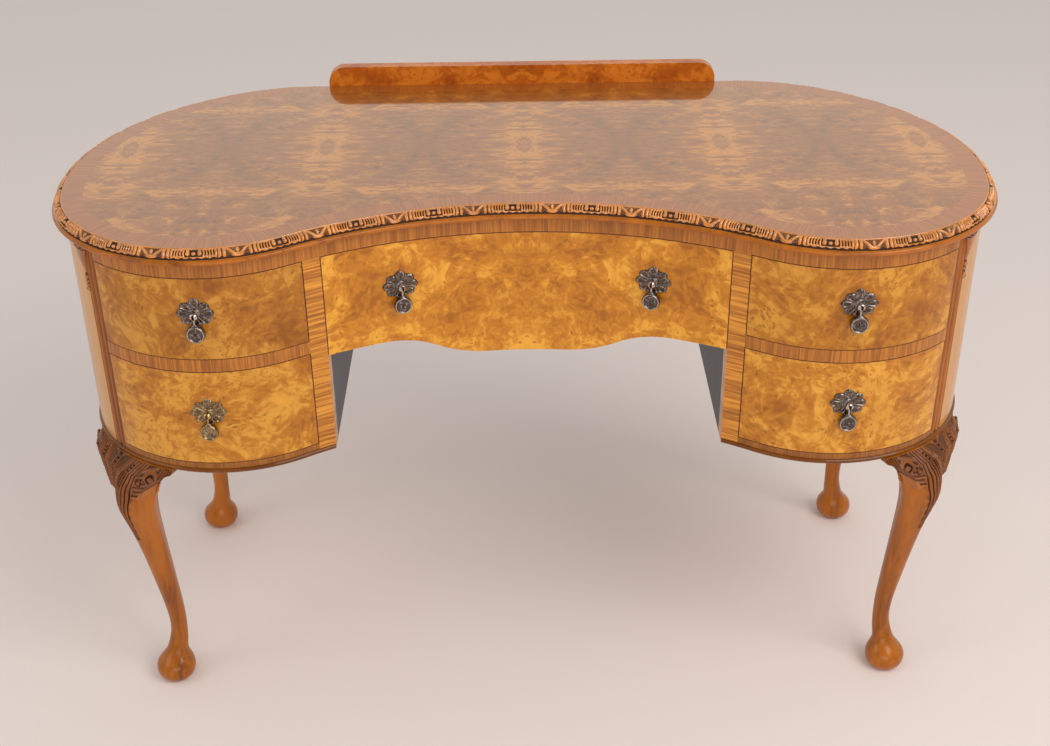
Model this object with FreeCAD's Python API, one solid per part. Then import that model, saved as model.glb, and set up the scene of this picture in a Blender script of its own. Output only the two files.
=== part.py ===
import FreeCAD, Part
import math
import os

# Kidney-shaped walnut dressing table on four cabriole legs.
# Millimetres, +Z up, the floor at zero, the front towards -Y.
# The origin is the middle of the footprint, on the floor.

V = FreeCAD.Vector

# Kidney outline of the flat top
flat_width = 1242.0
top_depth = 565.0
hollow_depth = 122.0
lobe_radius = 203.0
widest_from_back = 333.0
rear_overshoot = 12.0
rear_radius = 260.0

# Heights, from the floor up
leg_height = 404.0
base_rail_height = 15.0
lower_opening = 142.0
divider_height = 18.0
upper_opening = 118.0
frieze_height = 23.5
top_thickness = 19.5

# Carcase
carcase_inset = 2.0
kneehole_width = 530.0
stile_width = 21.0
stile_depth = 24.0
side_panel_thickness = 16.0
end_panel_thickness = 16.0
rail_thickness = 22.0
divider_depth = 48.0
post_depth = 32.0
bottom_thickness = 12.0
back_thickness = 9.0
back_inset = 18.5
back_panel_reach = 135.0

# Corner posts with two reeds, and the carved drop on each
post_inner_angle = 46.3
post_outer_angle = 39.5
post_face_recess = 2.0
reed_radius = 4.9
reed_count = 2
reed_rise = 0.4
drop_length = 74.0
drop_width = 18.0
drop_relief = 9.0
drop_scroll_height = 11.0
drop_leaf_length = 36.0
drop_stem_radius = 1.8
drop_bead_radius = 3.3
drop_knob_radius = 4.4
drop_knob_flat_radius = 0.8
drop_bead_count = 3
drop_head_gap = 2.0
drop_waist_share = 0.72
drop_leaf_share = 0.86
drop_tip_share = 0.36

# Edge moulding and base bead
rim_projection = 14.0
rim_bead_radius = 3.5
rim_step = 1.0
rim_length_counts = (3, 3, 3, 1)
rim_end_gap = 5.0
quarter_round_shares = (0.25, 0.5, 0.75, 1.0)
base_bead_radius = 3.2

# Upstand board
upstand_length = 598.0
upstand_rise = 30.0
upstand_thickness = 18.0
upstand_corner_radius = 25.0
screw_shank_radius = 2.0
screw_head_radius = 4.0
screw_head_length = 2.4
screw_length = 42.0
screw_spacing = 160.0
screw_count = 4

# Cabriole legs
pad_radius = 28.5
ankle_radius = 12.4
knee_half_width = 30.0
front_leg_angle = 49.0
front_foot_turn = 2.0
front_foot_inset = 14.0
front_leg_sway = 28.5
rear_leg_angle = 39.3
rear_foot_turn = 0.0
rear_foot_inset = 18.0
rear_leg_sway = 20.0
spigot_radius = 8.0
spigot_length = 11.0
spigot_setback = 22.0
ear_reach = 74.0
ear_root = 8.0
ear_drop = 56.0
ear_nose = 5.0
ear_depth = 12.0
ear_swell = 2.0
ear_root_projection = 20.5
ear_tip_projection = 13.0
ear_low_share = 0.42
ear_bend_share = 0.64
ear_bend_drop_share = 0.40
shoulder_start = 2.0
shoulder_slope_share = 0.75
foot_height_shares = (0.0, 0.010, 0.026, 0.048, 0.067, 0.086, 0.108)
foot_size_shares = (0.62, 0.80, 0.95, 1.0, 0.95, 0.80, 0.60)
foot_sway_shares = (0.0, 0.0, 0.0, 0.0, -0.03, -0.10, -0.22)
shaft_height_shares = (0.140, 0.185, 0.255, 0.364, 0.495, 0.614, 0.718, 0.827, 0.900, 0.960, 1.0)
shaft_size_shares = (0.10, 0.0, 0.0, 0.09, 0.22, 0.36, 0.54, 0.85, 0.98, 0.96, 0.90)
shaft_sway_shares = (-0.40, -0.56, -0.60, -0.45, -0.20, 0.05, 0.30, 0.445, 0.22, 0.02, -0.18)
shaft_corner_shares = (1.0, 1.0, 1.02, 1.05, 1.08, 1.10, 1.13, 1.16, 1.18, 1.18, 1.18)

# Drawers
front_thickness = 20.0
front_gap = 0.5
slide_clearance = 0.3
drawer_side_thickness = 10.0
drawer_back_thickness = 8.0
drawer_bottom_thickness = 4.0
drawer_bottom_rise = 8.0
drawer_groove = 3.0
drawer_box_headroom = 8.0
side_drawer_length = 380.0
centre_drawer_length = 400.0
centre_front_height = 146.0
apron_dip = 33.0
apron_flat_half_width = 54.0
apron_rise_half_width = 190.0
centre_runner_height = 13.0
runner_width = 22.0
kicker_width = 19.0
guide_height = 16.0
guide_width = 14.0

# Glue blocks under the top
block_side = 18.0
block_length = 40.0
block_angles = (-14.0, 8.0, 30.0)

# Drop pulls
rose_half_width = 24.5
rose_half_height = 19.5
rose_thickness = 2.0
rose_lobes = 8
rose_cusp_share = 0.86
rose_shoulder_share = 0.96
piercing_inner_share = 0.45
piercing_outer_share = 0.82
piercing_half_width = 1.7
rose_boss_radius = 6.0
rose_boss_thickness = 1.2
pin_reach = 9.6
post_radius = 3.2
ball_radius = 5.5
eye_thickness = 2.6
eye_radius = 3.2
eye_clearance = 0.3
pin_radius = 1.1
pin_bore_clearance = 0.05
neck_top_radius = 1.2
fan_thickness = 4.0
fan_apex_drop = 2.0
fan_touch_share = 0.97
knob_radius = 12.3
knob_thickness = 7.0
knob_drop = 25.0
knob_round = 2.0
knob_dish_radius = 9.5
knob_dish_depth = 0.8
pull_rise = 10.0
centre_pull_spacing = 335.0
hollow_rose_clearance = 0.6

overrun = 40.0
reach = 2.0 * flat_width

# Levels worked out from the heights
lower_z = leg_height + base_rail_height
divider_z = lower_z + lower_opening
upper_z = divider_z + divider_height
frieze_z = upper_z + upper_opening
top_under_z = frieze_z + frieze_height
table_height = top_under_z + top_thickness
centre_low_z = frieze_z - centre_front_height

# Plan of the kidney, worked out from its driving dimensions
half_width = flat_width / 2.0
total_depth = rim_projection + top_depth + upstand_thickness
lobe_front_y = rim_projection - total_depth / 2.0
back_y = lobe_front_y + top_depth
hollow_front_y = lobe_front_y + hollow_depth
end_radius = widest_from_back + rear_overshoot
end_centre = V(half_width - end_radius, back_y - widest_from_back, 0.0)
lobe_y = lobe_front_y + lobe_radius
lobe_x = end_centre.x + math.sqrt((end_radius - lobe_radius) ** 2 - (end_centre.y - lobe_y) ** 2)
lobe_centre = V(lobe_x, lobe_y, 0.0)
lobe_over_hollow = lobe_y - hollow_front_y
hollow_radius = (lobe_x ** 2 + lobe_over_hollow ** 2 - lobe_radius ** 2) / (2.0 * hollow_depth)
hollow_centre = V(0.0, hollow_front_y - hollow_radius, 0.0)
rear_y = back_y - rear_radius
rear_x = end_centre.x + math.sqrt((end_radius - rear_radius) ** 2 - (rear_y - end_centre.y) ** 2)
rear_centre = V(rear_x, rear_y, 0.0)

kneehole_half = kneehole_width / 2.0
opening_inner_x = kneehole_half + stile_width
panel_inner_x = kneehole_half + side_panel_thickness
carcase_lobe_radius = lobe_radius - carcase_inset
opening_outer_x = lobe_x + carcase_lobe_radius * math.cos(math.radians(post_inner_angle))
back_face_y = back_y - back_inset
back_panel_outer_x = kneehole_half + back_panel_reach


def unit(vector):
    return vector.multiply(1.0 / vector.Length)


def half_arcs(offset):
    """Centre, start, end and sense of each arc of the right half, front to back, moved out by offset."""
    start = V(0.0, hollow_front_y - offset, 0.0)
    inflection = hollow_centre + unit(lobe_centre - hollow_centre) * (hollow_radius - offset)
    shoulder = end_centre + unit(lobe_centre - end_centre) * (end_radius + offset)
    quarter = end_centre + unit(rear_centre - end_centre) * (end_radius + offset)
    finish = V(rear_x, back_y + offset, 0.0)
    return [
        (hollow_centre, start, inflection, -1),
        (lobe_centre, inflection, shoulder, 1),
        (end_centre, shoulder, quarter, 1),
        (rear_centre, quarter, finish, 1),
    ]


def arc_edge(centre, start, finish, z, side):
    """One outline arc as an edge at height z, mirrored when side is -1."""
    radius = (start - centre).Length
    middle = centre + unit((start - centre) + (finish - centre)) * radius
    points = [V(side * p.x, p.y, z) for p in (start, middle, finish)]
    return Part.Arc(*points).toShape()


def plan_solid(offset, z_low, z_high):
    """The whole kidney, moved out by offset, between two heights."""
    arcs = half_arcs(offset)
    right = [arc_edge(c, p, q, z_low, 1) for c, p, q, sense in arcs]
    left = [arc_edge(c, p, q, z_low, -1) for c, p, q, sense in arcs]
    back = Part.makeLine(V(rear_x, back_y + offset, z_low), V(-rear_x, back_y + offset, z_low))
    wire = Part.Wire(right + [back] + left[::-1])
    return Part.Face(wire).extrude(V(0.0, 0.0, z_high - z_low))


def band(outer, inner, z_low, z_high):
    """A ring that follows the outline between two offsets."""
    return plan_solid(outer, z_low, z_high).cut(plan_solid(inner, z_low, z_high))


def box(x_low, x_high, y_low, y_high, z_low, z_high):
    return Part.makeBox(x_high - x_low, y_high - y_low, z_high - z_low, V(x_low, y_low, z_low))


def tower(x_low, x_high, y_low, y_high):
    """A box of full height, for cutting a stretch out of a ring."""
    return box(x_low, x_high, y_low, y_high, -overrun, table_height + overrun)


def mirrored(shape):
    return shape.mirror(V(0.0, 0.0, 0.0), V(1.0, 0.0, 0.0))


def largest(shape):
    return max(shape.Solids, key=lambda solid: solid.Volume)


def beyond_plane(centre, degrees):
    """Everything on the far side of the upright plane through a centre, at an angle below +X."""
    along = V(math.cos(math.radians(degrees)), -math.sin(math.radians(degrees)), 0.0)
    across = V(-along.y, along.x, 0.0)
    base = centre - V(0.0, 0.0, overrun)
    corners = [base - along * reach, base + along * reach]
    corners += [corners[1] + across * reach, corners[0] + across * reach, corners[0]]
    return Part.Face(Part.makePolygon(corners)).extrude(V(0.0, 0.0, table_height + 2.0 * overrun))


def swept_half(profile_points, counts=(1, 1, 1, 1)):
    """A profile of offsets and heights swept along the four arcs of the right half.

    Each arc can be made in several lengths butted end to end.
    """
    pieces = []
    for count, (centre, start, finish, sense) in zip(counts, half_arcs(0.0)):
        radial = unit(start - centre)
        radius = (start - centre).Length
        ring = []
        for offset, z in profile_points:
            place = centre + radial * (radius + sense * offset)
            ring.append(V(place.x, place.y, z))
        ring.append(ring[0])
        turn = sense * math.degrees(radial.getAngle(unit(finish - centre))) / count
        face = Part.Face(Part.makePolygon(ring))
        for step in range(count):
            length = face.revolve(centre, V(0.0, 0.0, 1.0), turn)
            length.rotate(centre, V(0.0, 0.0, 1.0), turn * step)
            pieces.append(length)
    return pieces


def rounded_points(centre_offset, centre_z, radius, first, last, steps):
    """Points round part of a moulding's curve, as offsets and heights."""
    points = []
    for step in range(steps + 1):
        angle = math.radians(first + (last - first) * step / steps)
        points.append((centre_offset + radius * math.cos(angle), centre_z + radius * math.sin(angle)))
    return points


# Top board, edge moulding and frieze
def screw_places():
    return [screw_spacing * (i - (screw_count - 1) / 2.0) for i in range(screw_count)]


def upstand_screws():
    """Countersunk screws through the upstand board into the edge of the top."""
    screws = []
    face_y = back_y + upstand_thickness
    z = top_under_z + top_thickness / 2.0
    for x in screw_places():
        head = Part.makeCone(screw_head_radius, screw_shank_radius, screw_head_length,
                             V(x, face_y, z), V(0.0, -1.0, 0.0))
        shank = Part.makeCylinder(screw_shank_radius, screw_length - screw_head_length,
                                  V(x, face_y - screw_head_length, z), V(0.0, -1.0, 0.0))
        screws.append(head.fuse(shank).removeSplitter())
    return screws


def upstand_board(screws):
    """A low board with rounded upper corners, fixed to the back edge of the top."""
    half = upstand_length / 2.0
    top_z = table_height + upstand_rise
    r = upstand_corner_radius
    low_right = V(half, back_y, top_under_z)
    low_left = V(-half, back_y, top_under_z)
    turn = r * math.sqrt(0.5)
    right_arc = Part.Arc(V(half, back_y, top_z - r), V(half - r + turn, back_y, top_z - r + turn),
                         V(half - r, back_y, top_z))
    left_arc = Part.Arc(V(-half + r, back_y, top_z), V(-half + r - turn, back_y, top_z - r + turn),
                        V(-half, back_y, top_z - r))
    edges = [
        Part.makeLine(low_left, low_right),
        Part.makeLine(low_right, V(half, back_y, top_z - r)),
        right_arc.toShape(),
        Part.makeLine(V(half - r, back_y, top_z), V(-half + r, back_y, top_z)),
        left_arc.toShape(),
        Part.makeLine(V(-half, back_y, top_z - r), low_left),
    ]
    board = Part.Face(Part.Wire(edges)).extrude(V(0.0, upstand_thickness, 0.0))
    return board.cut(Part.makeCompound(screws))


def edge_moulding():
    """The rim, in lengths butted end to end: a quarter-round for the carving, a small step and a bead."""
    bead_z = top_under_z + rim_bead_radius
    bead_offset = rim_projection - rim_bead_radius
    rim_low_z = top_under_z + 2.0 * rim_bead_radius
    rim_drop = table_height - rim_low_z
    rim_out = rim_projection - rim_bead_radius + rim_step
    profile = [(0.0, top_under_z), (0.0, table_height)]
    for share in quarter_round_shares:
        turn = math.radians(90.0 * share)
        profile.append((rim_out * math.sin(turn), rim_low_z + rim_drop * math.cos(turn)))
    profile += rounded_points(bead_offset, bead_z, rim_bead_radius, 75.0, -90.0, 5)
    stop = upstand_length / 2.0 + rim_end_gap
    behind_upstand = tower(-stop, stop, lobe_y, reach)
    right = [largest(piece.cut(behind_upstand)) for piece in swept_half(profile, rim_length_counts)]
    return right + [mirrored(piece) for piece in right]


def frieze_rail():
    ring = band(-carcase_inset, -carcase_inset - rail_thickness, frieze_z, top_under_z)
    return ring.common(tower(-opening_outer_x, opening_outer_x, -reach, lobe_y))


# Carcase
def post_region():
    outer = tower(opening_outer_x, reach, -reach, lobe_y)
    return outer.cut(beyond_plane(lobe_centre, post_outer_angle))


def corner_post():
    """An upright at the outer front corner, its face worked with two reeds."""
    ring = band(-carcase_inset - post_face_recess, -carcase_inset - post_depth, leg_height, top_under_z)
    post = largest(ring.common(post_region()))
    span = post_inner_angle - post_outer_angle
    centre_radius = carcase_lobe_radius + reed_rise - reed_radius
    for i in range(reed_count):
        angle = math.radians(post_outer_angle + span * (i + 0.5) / reed_count)
        place = lobe_centre + V(math.cos(angle), -math.sin(angle), 0.0) * centre_radius
        place.z = leg_height
        reed = Part.makeCylinder(reed_radius, top_under_z - leg_height, place)
        post = post.fuse(reed.common(post_region()))
    return post.removeSplitter()


def end_panel():
    """The bowed end, from the corner post round to the back."""
    ring = band(-carcase_inset, -carcase_inset - end_panel_thickness, leg_height, top_under_z)
    ends = ring.common(tower(back_panel_outer_x, reach, -reach, reach))
    return largest(ends.common(beyond_plane(lobe_centre, post_outer_angle)))


def kneehole_side():
    """The flat side of a pedestal, behind the stile and the frieze."""
    inner = plan_solid(-carcase_inset - rail_thickness, frieze_z, top_under_z)
    upper = inner.common(tower(kneehole_half, panel_inner_x, -reach, back_face_y))
    lower_zone = plan_solid(-carcase_inset - stile_depth, leg_height, frieze_z)
    lower = lower_zone.common(tower(kneehole_half, panel_inner_x, -reach, back_face_y))
    return upper.fuse(lower).removeSplitter()


def stile():
    ring = band(-carcase_inset, -carcase_inset - stile_depth, leg_height, frieze_z)
    return ring.common(tower(kneehole_half, opening_inner_x, -reach, lobe_y))


def front_rail(depth, z_low, z_high):
    """A curved rail between the stile and the corner post."""
    ring = band(-carcase_inset, -carcase_inset - depth, z_low, z_high)
    return largest(ring.common(tower(opening_inner_x, opening_outer_x, -reach, lobe_y)))


def inside_pedestal(z_low, z_high):
    """The room inside a pedestal's end panel, side panel and back."""
    room = plan_solid(-carcase_inset - end_panel_thickness, z_low, z_high)
    return room.common(tower(panel_inner_x, reach, -reach, back_face_y - back_thickness))


def pedestal_bottom(obstacles):
    board = inside_pedestal(lower_z - bottom_thickness, lower_z)
    return largest(board.cut(Part.makeCompound(obstacles)))


def back_panel():
    return box(panel_inner_x, back_panel_outer_x, back_face_y - back_thickness, back_face_y,
               leg_height, top_under_z)


def centre_back_rail():
    return box(-kneehole_half, kneehole_half, back_face_y - back_thickness, back_face_y,
               divider_z, top_under_z)


def strip(x_low, x_high, z_low, z_high, obstacles):
    """A straight inner strip, front to back, trimmed to what it meets."""
    room = inside_pedestal(z_low, z_high).common(tower(x_low, x_high, -reach, reach))
    return largest(room.cut(Part.makeCompound(obstacles)))


def base_bead():
    """A half-round bead round the bottom edge of a pedestal."""
    profile = rounded_points(-carcase_inset, leg_height + base_bead_radius, base_bead_radius,
                             -90.0, 90.0, 6)
    pieces = swept_half(profile)
    ring = pieces[0].multiFuse(pieces[1:]).removeSplitter()
    front = tower(kneehole_half, reach, -reach, lobe_y)
    rear = tower(back_panel_outer_x, reach, lobe_y, reach)
    return largest(ring.common(front.fuse(rear)))


def carved_drop(obstacles):
    """A tapering carved bracket at the head of the corner post: scroll, leaf, beads and a knob.

    It is made facing +X with the post's face at x = 0, then turned to its place.
    """
    top_z = top_under_z - drop_head_gap
    waist_z = top_z - drop_scroll_height
    leaf_z = waist_z - drop_leaf_length
    knob_z = top_z - drop_length
    front = post_face_recess + drop_relief
    waist = front * drop_waist_share
    leaf = front * drop_leaf_share
    tip = front * drop_tip_share
    half = drop_width / 2.0

    def side_point(x, z):
        return V(x, -half, z)

    side = [
        Part.makeLine(side_point(0.0, leaf_z), side_point(0.0, top_z)),
        Part.makeLine(side_point(0.0, top_z), side_point(waist, top_z)),
        Part.Arc(side_point(waist, top_z), side_point(front, (top_z + waist_z) / 2.0),
                 side_point(waist, waist_z)).toShape(),
        Part.Arc(side_point(waist, waist_z), side_point(leaf, (waist_z + leaf_z) / 2.0),
                 side_point(tip, leaf_z)).toShape(),
        Part.makeLine(side_point(tip, leaf_z), side_point(0.0, leaf_z)),
    ]
    body = Part.Face(Part.Wire(side)).extrude(V(0.0, drop_width, 0.0))

    def face_point(y, z):
        return V(0.0, y, z)

    low = half * drop_tip_share
    widest = half * drop_leaf_share
    face = [
        Part.makeLine(face_point(-half, top_z), face_point(half, top_z)),
        Part.makeLine(face_point(half, top_z), face_point(half, waist_z)),
        Part.Arc(face_point(half, waist_z), face_point(widest, (waist_z + leaf_z) / 2.0),
                 face_point(low, leaf_z)).toShape(),
        Part.makeLine(face_point(low, leaf_z), face_point(-low, leaf_z)),
        Part.Arc(face_point(-low, leaf_z), face_point(-widest, (waist_z + leaf_z) / 2.0),
                 face_point(-half, waist_z)).toShape(),
        Part.makeLine(face_point(-half, waist_z), face_point(-half, top_z)),
    ]
    body = body.common(Part.Face(Part.Wire(face)).extrude(V(front + overrun, 0.0, 0.0)))

    def turned_point(r, z):
        return V(post_face_recess + r, 0.0, z)

    bead_reach = math.sqrt(drop_bead_radius ** 2 - drop_stem_radius ** 2)
    knob_reach = math.sqrt(drop_knob_radius ** 2 - drop_stem_radius ** 2)
    knob_foot = math.sqrt(drop_knob_radius ** 2 - drop_knob_flat_radius ** 2)
    knob_centre_z = knob_z + knob_foot
    pitch = (leaf_z - knob_centre_z - knob_reach) / drop_bead_count
    corner = turned_point(drop_stem_radius, leaf_z)
    lathe = [Part.makeLine(turned_point(0.0, leaf_z), corner)]
    for i in range(drop_bead_count):
        z = leaf_z - pitch * (i + 0.5)
        above = turned_point(drop_stem_radius, z + bead_reach)
        below = turned_point(drop_stem_radius, z - bead_reach)
        lathe.append(Part.makeLine(corner, above))
        lathe.append(Part.Arc(above, turned_point(drop_bead_radius, z), below).toShape())
        corner = below
    above = turned_point(drop_stem_radius, knob_centre_z + knob_reach)
    lathe.append(Part.makeLine(corner, above))
    below = turned_point(drop_knob_flat_radius, knob_z)
    lathe.append(Part.Arc(above, turned_point(drop_knob_radius, knob_centre_z), below).toShape())
    lathe.append(Part.makeLine(below, turned_point(0.0, knob_z)))
    lathe.append(Part.makeLine(turned_point(0.0, knob_z), turned_point(0.0, leaf_z)))
    beads = Part.Face(Part.Wire(lathe)).revolve(turned_point(0.0, 0.0), V(0.0, 0.0, 1.0), 360.0)
    drop = body.fuse(beads)
    drop.translate(V(carcase_lobe_radius - post_face_recess, 0.0, 0.0))
    drop.rotate(V(0.0, 0.0, 0.0), V(0.0, 0.0, 1.0), -post_outer_angle)
    drop.translate(lobe_centre)
    return largest(drop.cut(Part.makeCompound(obstacles)))


def glue_blocks(obstacles):
    """Blocks glued in the angle between an end panel and the top."""
    blocks = []
    inner_radius = end_radius - carcase_inset - end_panel_thickness
    for degrees in block_angles:
        block = box(inner_radius - block_side, inner_radius + carcase_inset, -block_length / 2.0,
                    block_length / 2.0, top_under_z - block_side, top_under_z)
        block.rotate(V(0.0, 0.0, 0.0), V(0.0, 0.0, 1.0), degrees)
        block.translate(end_centre)
        blocks.append(largest(block.cut(Part.makeCompound(obstacles))))
    return blocks


# Cabriole legs
def leg_section(centre, outward_angle, half, corner_share, z):
    """A rounded square with one corner facing outwards, round where corner_share is one."""
    points = []
    for i in range(8):
        angle = outward_angle + math.pi * i / 4.0
        r = half * corner_share if i % 2 == 0 else half
        points.append(V(centre.x + r * math.cos(angle), centre.y + r * math.sin(angle), z))
    curve = Part.BSplineCurve()
    curve.interpolate(Points=points, PeriodicFlag=True)
    return Part.Wire([curve.toShape()])


def cabriole_leg(axis_centre, outline_radius, degrees, foot_turn, foot_inset, sway):
    """Pad foot, thin ankle and swelling knee, curved in an upright plane that the foot leaves a little."""
    angle = math.radians(degrees)
    outward = V(math.cos(angle), math.sin(angle), 0.0)
    foot_radius = outline_radius - foot_inset

    def centre_at(height, lean):
        turn = angle + math.radians(foot_turn) * (1.0 - height) ** 2
        return axis_centre + V(math.cos(turn), math.sin(turn), 0.0) * (foot_radius + sway * lean)

    sections = []
    for height, size, lean in zip(foot_height_shares, foot_size_shares, foot_sway_shares):
        centre = centre_at(height, lean)
        sections.append(leg_section(centre, angle, pad_radius * size, 1.0, leg_height * height))
    rows = zip(shaft_height_shares, shaft_size_shares, shaft_sway_shares, shaft_corner_shares)
    for height, size, lean, corner in rows:
        half = ankle_radius + (knee_half_width - ankle_radius) * size
        sections.append(leg_section(centre_at(height, lean), angle, half, corner, leg_height * height))
    leg = Part.makeLoft(sections, True, False).cut(shoulder_cut(axis_centre, outline_radius))
    peg = axis_centre + outward * (foot_radius + sway * shaft_sway_shares[-1] - spigot_setback)
    peg.z = leg_height
    spigot = Part.makeCylinder(spigot_radius, spigot_length, peg)
    return leg.fuse(spigot), spigot


def shoulder_cut(axis_centre, outline_radius):
    """What is taken off the knees so that they slope down from the edge of the carcase."""
    near = outline_radius + shoulder_start
    far = outline_radius + overrun
    fall = (far - near) * shoulder_slope_share
    ring = [
        V(axis_centre.x + near, axis_centre.y, leg_height),
        V(axis_centre.x + far, axis_centre.y, leg_height - fall),
        V(axis_centre.x + far, axis_centre.y, leg_height + overrun),
        V(axis_centre.x + near, axis_centre.y, leg_height + overrun),
    ]
    face = Part.Face(Part.makePolygon(ring + [ring[0]]))
    return face.revolve(axis_centre, V(0.0, 0.0, 1.0), 360.0)


def knee_ears(axis_centre, outline_radius, degrees, leg):
    """A scrolled bracket on each side of a knee, standing out from the carcase next to the knee."""
    ears = []
    for side in (-1, 1):
        angle = math.radians(degrees)
        outward = V(math.cos(angle), math.sin(angle), 0.0)
        along = V(-outward.y, outward.x, 0.0) * side

        def around(distance, radius, z):
            turn = angle + side * distance / outline_radius
            return V(axis_centre.x + radius * math.cos(turn), axis_centre.y + radius * math.sin(turn), z)

        low = leg_height - ear_drop
        inner = outline_radius - ear_depth
        root = outline_radius + ear_root_projection
        tip = outline_radius + ear_tip_projection
        middle = (ear_root + ear_reach) / 2.0
        bulge = (root + tip) / 2.0 + ear_swell
        plan = [
            Part.Arc(around(0.0, inner, low), around(middle, inner, low),
                     around(ear_reach, inner, low)).toShape(),
            Part.makeLine(around(ear_reach, inner, low), around(ear_reach, tip, low)),
            Part.Arc(around(ear_reach, tip, low), around(middle, bulge, low),
                     around(ear_root, root, low)).toShape(),
            Part.makeLine(around(ear_root, root, low), around(0.0, inner, low)),
        ]
        block = Part.Face(Part.Wire(plan)).extrude(V(0.0, 0.0, ear_drop))
        base = axis_centre + outward * (inner - ear_reach)
        end = (around(ear_reach, tip, low) - base).dot(along)

        def at(distance, drop):
            return V(base.x + along.x * distance, base.y + along.y * distance, leg_height - drop)

        below = [
            Part.makeLine(at(end + ear_reach, ear_nose), at(end, ear_nose)),
            Part.Arc(at(end, ear_nose), at(end * ear_bend_share, ear_drop * ear_bend_drop_share),
                     at(end * ear_low_share, ear_drop)).toShape(),
            Part.makeLine(at(end * ear_low_share, ear_drop), at(end * ear_low_share, ear_drop + ear_nose)),
            Part.makeLine(at(end * ear_low_share, ear_drop + ear_nose),
                          at(end + ear_reach, ear_drop + ear_nose)),
            Part.makeLine(at(end + ear_reach, ear_drop + ear_nose), at(end + ear_reach, ear_nose)),
        ]
        hollow = Part.Face(Part.Wire(below)).extrude(outward * (2.0 * ear_reach))
        ears.append(largest(block.cut(hollow).cut(leg).cut(shoulder_cut(axis_centre, outline_radius))))
    return ears


# Drawers
def drawer_pieces(x_low, x_high, z_low, z_high, box_low, box_high, length, front_low):
    """Front, sides, back and bottom of a drawer whose front follows the outline."""
    zone = tower(x_low + front_gap, x_high - front_gap, -reach, lobe_y)
    front = largest(band(-carcase_inset, -carcase_inset - front_thickness, front_low, z_high).common(zone))
    behind = plan_solid(-carcase_inset - front_thickness, box_low, box_high)
    ys = [vertex.Y for vertex in front.Vertexes]
    rear = min(ys) + length
    inner_low = x_low + front_gap + drawer_side_thickness
    inner_high = x_high - front_gap - drawer_side_thickness
    left = behind.common(tower(x_low + front_gap, inner_low, -reach, rear))
    right = behind.common(tower(inner_high, x_high - front_gap, -reach, rear))
    floor_low = box_low + drawer_bottom_rise
    floor_high = floor_low + drawer_bottom_thickness
    into_front = plan_solid(drawer_groove - carcase_inset - front_thickness, floor_low, floor_high)
    bottom = into_front.common(tower(inner_low - drawer_groove, inner_high + drawer_groove, -reach, rear))
    back = behind.common(box(inner_low, inner_high, rear - drawer_back_thickness, rear, floor_high, box_high))
    pieces = [front.cut(bottom), left.cut(bottom), right.cut(bottom)]
    return pieces[0], pieces[1:], back, bottom


def apron_cut():
    """What is cut away under the centre drawer's front: two lifted ends joined to the dip by an ogee."""
    low_z = centre_low_z - apron_dip
    middle_x = (apron_flat_half_width + apron_rise_half_width) / 2.0
    middle_z = centre_low_z - apron_dip / 2.0
    run = apron_rise_half_width - middle_x
    bend = (run ** 2 + (apron_dip / 2.0) ** 2) / apron_dip
    half_turn = math.asin(run / bend) / 2.0
    upper_mid = V(apron_rise_half_width - bend * math.sin(half_turn), -reach,
                  centre_low_z - bend * (1.0 - math.cos(half_turn)))
    lower_mid = V(apron_flat_half_width + bend * math.sin(half_turn), -reach,
                  low_z + bend * (1.0 - math.cos(half_turn)))
    outer = V(kneehole_half + overrun, -reach, centre_low_z)
    rise = V(apron_rise_half_width, -reach, centre_low_z)
    middle = V(middle_x, -reach, middle_z)
    dip = V(apron_flat_half_width, -reach, low_z)
    base = V(kneehole_half + overrun, -reach, low_z - overrun)

    def flip(point):
        return V(-point.x, point.y, point.z)

    edges = [
        Part.makeLine(outer, rise),
        Part.Arc(rise, upper_mid, middle).toShape(),
        Part.Arc(middle, lower_mid, dip).toShape(),
        Part.makeLine(dip, flip(dip)),
        Part.Arc(flip(dip), flip(lower_mid), flip(middle)).toShape(),
        Part.Arc(flip(middle), flip(upper_mid), flip(rise)).toShape(),
        Part.makeLine(flip(rise), flip(outer)),
        Part.makeLine(flip(outer), flip(base)),
        Part.makeLine(flip(base), base),
        Part.makeLine(base, outer),
    ]
    return Part.Face(Part.Wire(edges)).extrude(V(0.0, 2.0 * reach, 0.0))


# Drop pulls, made at the origin facing -Y with the drawer's face at y = 0
def rose_plate():
    """A lobed plate, wider than tall, pierced between its ribs."""
    def at(degrees, share):
        turn = math.radians(degrees)
        return V(rose_half_width * share * math.cos(turn), 0.0, rose_half_height * share * math.sin(turn))

    step = 360.0 / rose_lobes
    edges = []
    for i in range(rose_lobes):
        middle = i * step
        for side in (-1.0, 1.0):
            cusp = at(middle + side * step / 2.0, rose_cusp_share)
            shoulder = at(middle + side * step / 4.0, rose_shoulder_share)
            ends = (cusp, at(middle, 1.0)) if side < 0.0 else (at(middle, 1.0), cusp)
            edges.append(Part.Arc(ends[0], shoulder, ends[1]).toShape())
    plate = Part.Face(Part.Wire(edges)).extrude(V(0.0, -rose_thickness, 0.0))
    for i in range(rose_lobes):
        inner = at(i * step, piercing_inner_share)
        outer = at(i * step, piercing_outer_share)
        middle = (inner + outer) * 0.5
        sideways = unit(V(-(outer.z - inner.z), 0.0, outer.x - inner.x)) * piercing_half_width
        kite = Part.makePolygon([inner, middle + sideways, outer, middle - sideways, inner])
        plate = plate.cut(Part.Face(kite).extrude(V(0.0, -rose_thickness, 0.0)))
    boss = Part.makeCone(rose_boss_radius, post_radius, rose_boss_thickness,
                         V(0.0, -rose_thickness, 0.0), V(0.0, -1.0, 0.0))
    return plate.fuse(boss).removeSplitter()


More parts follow.
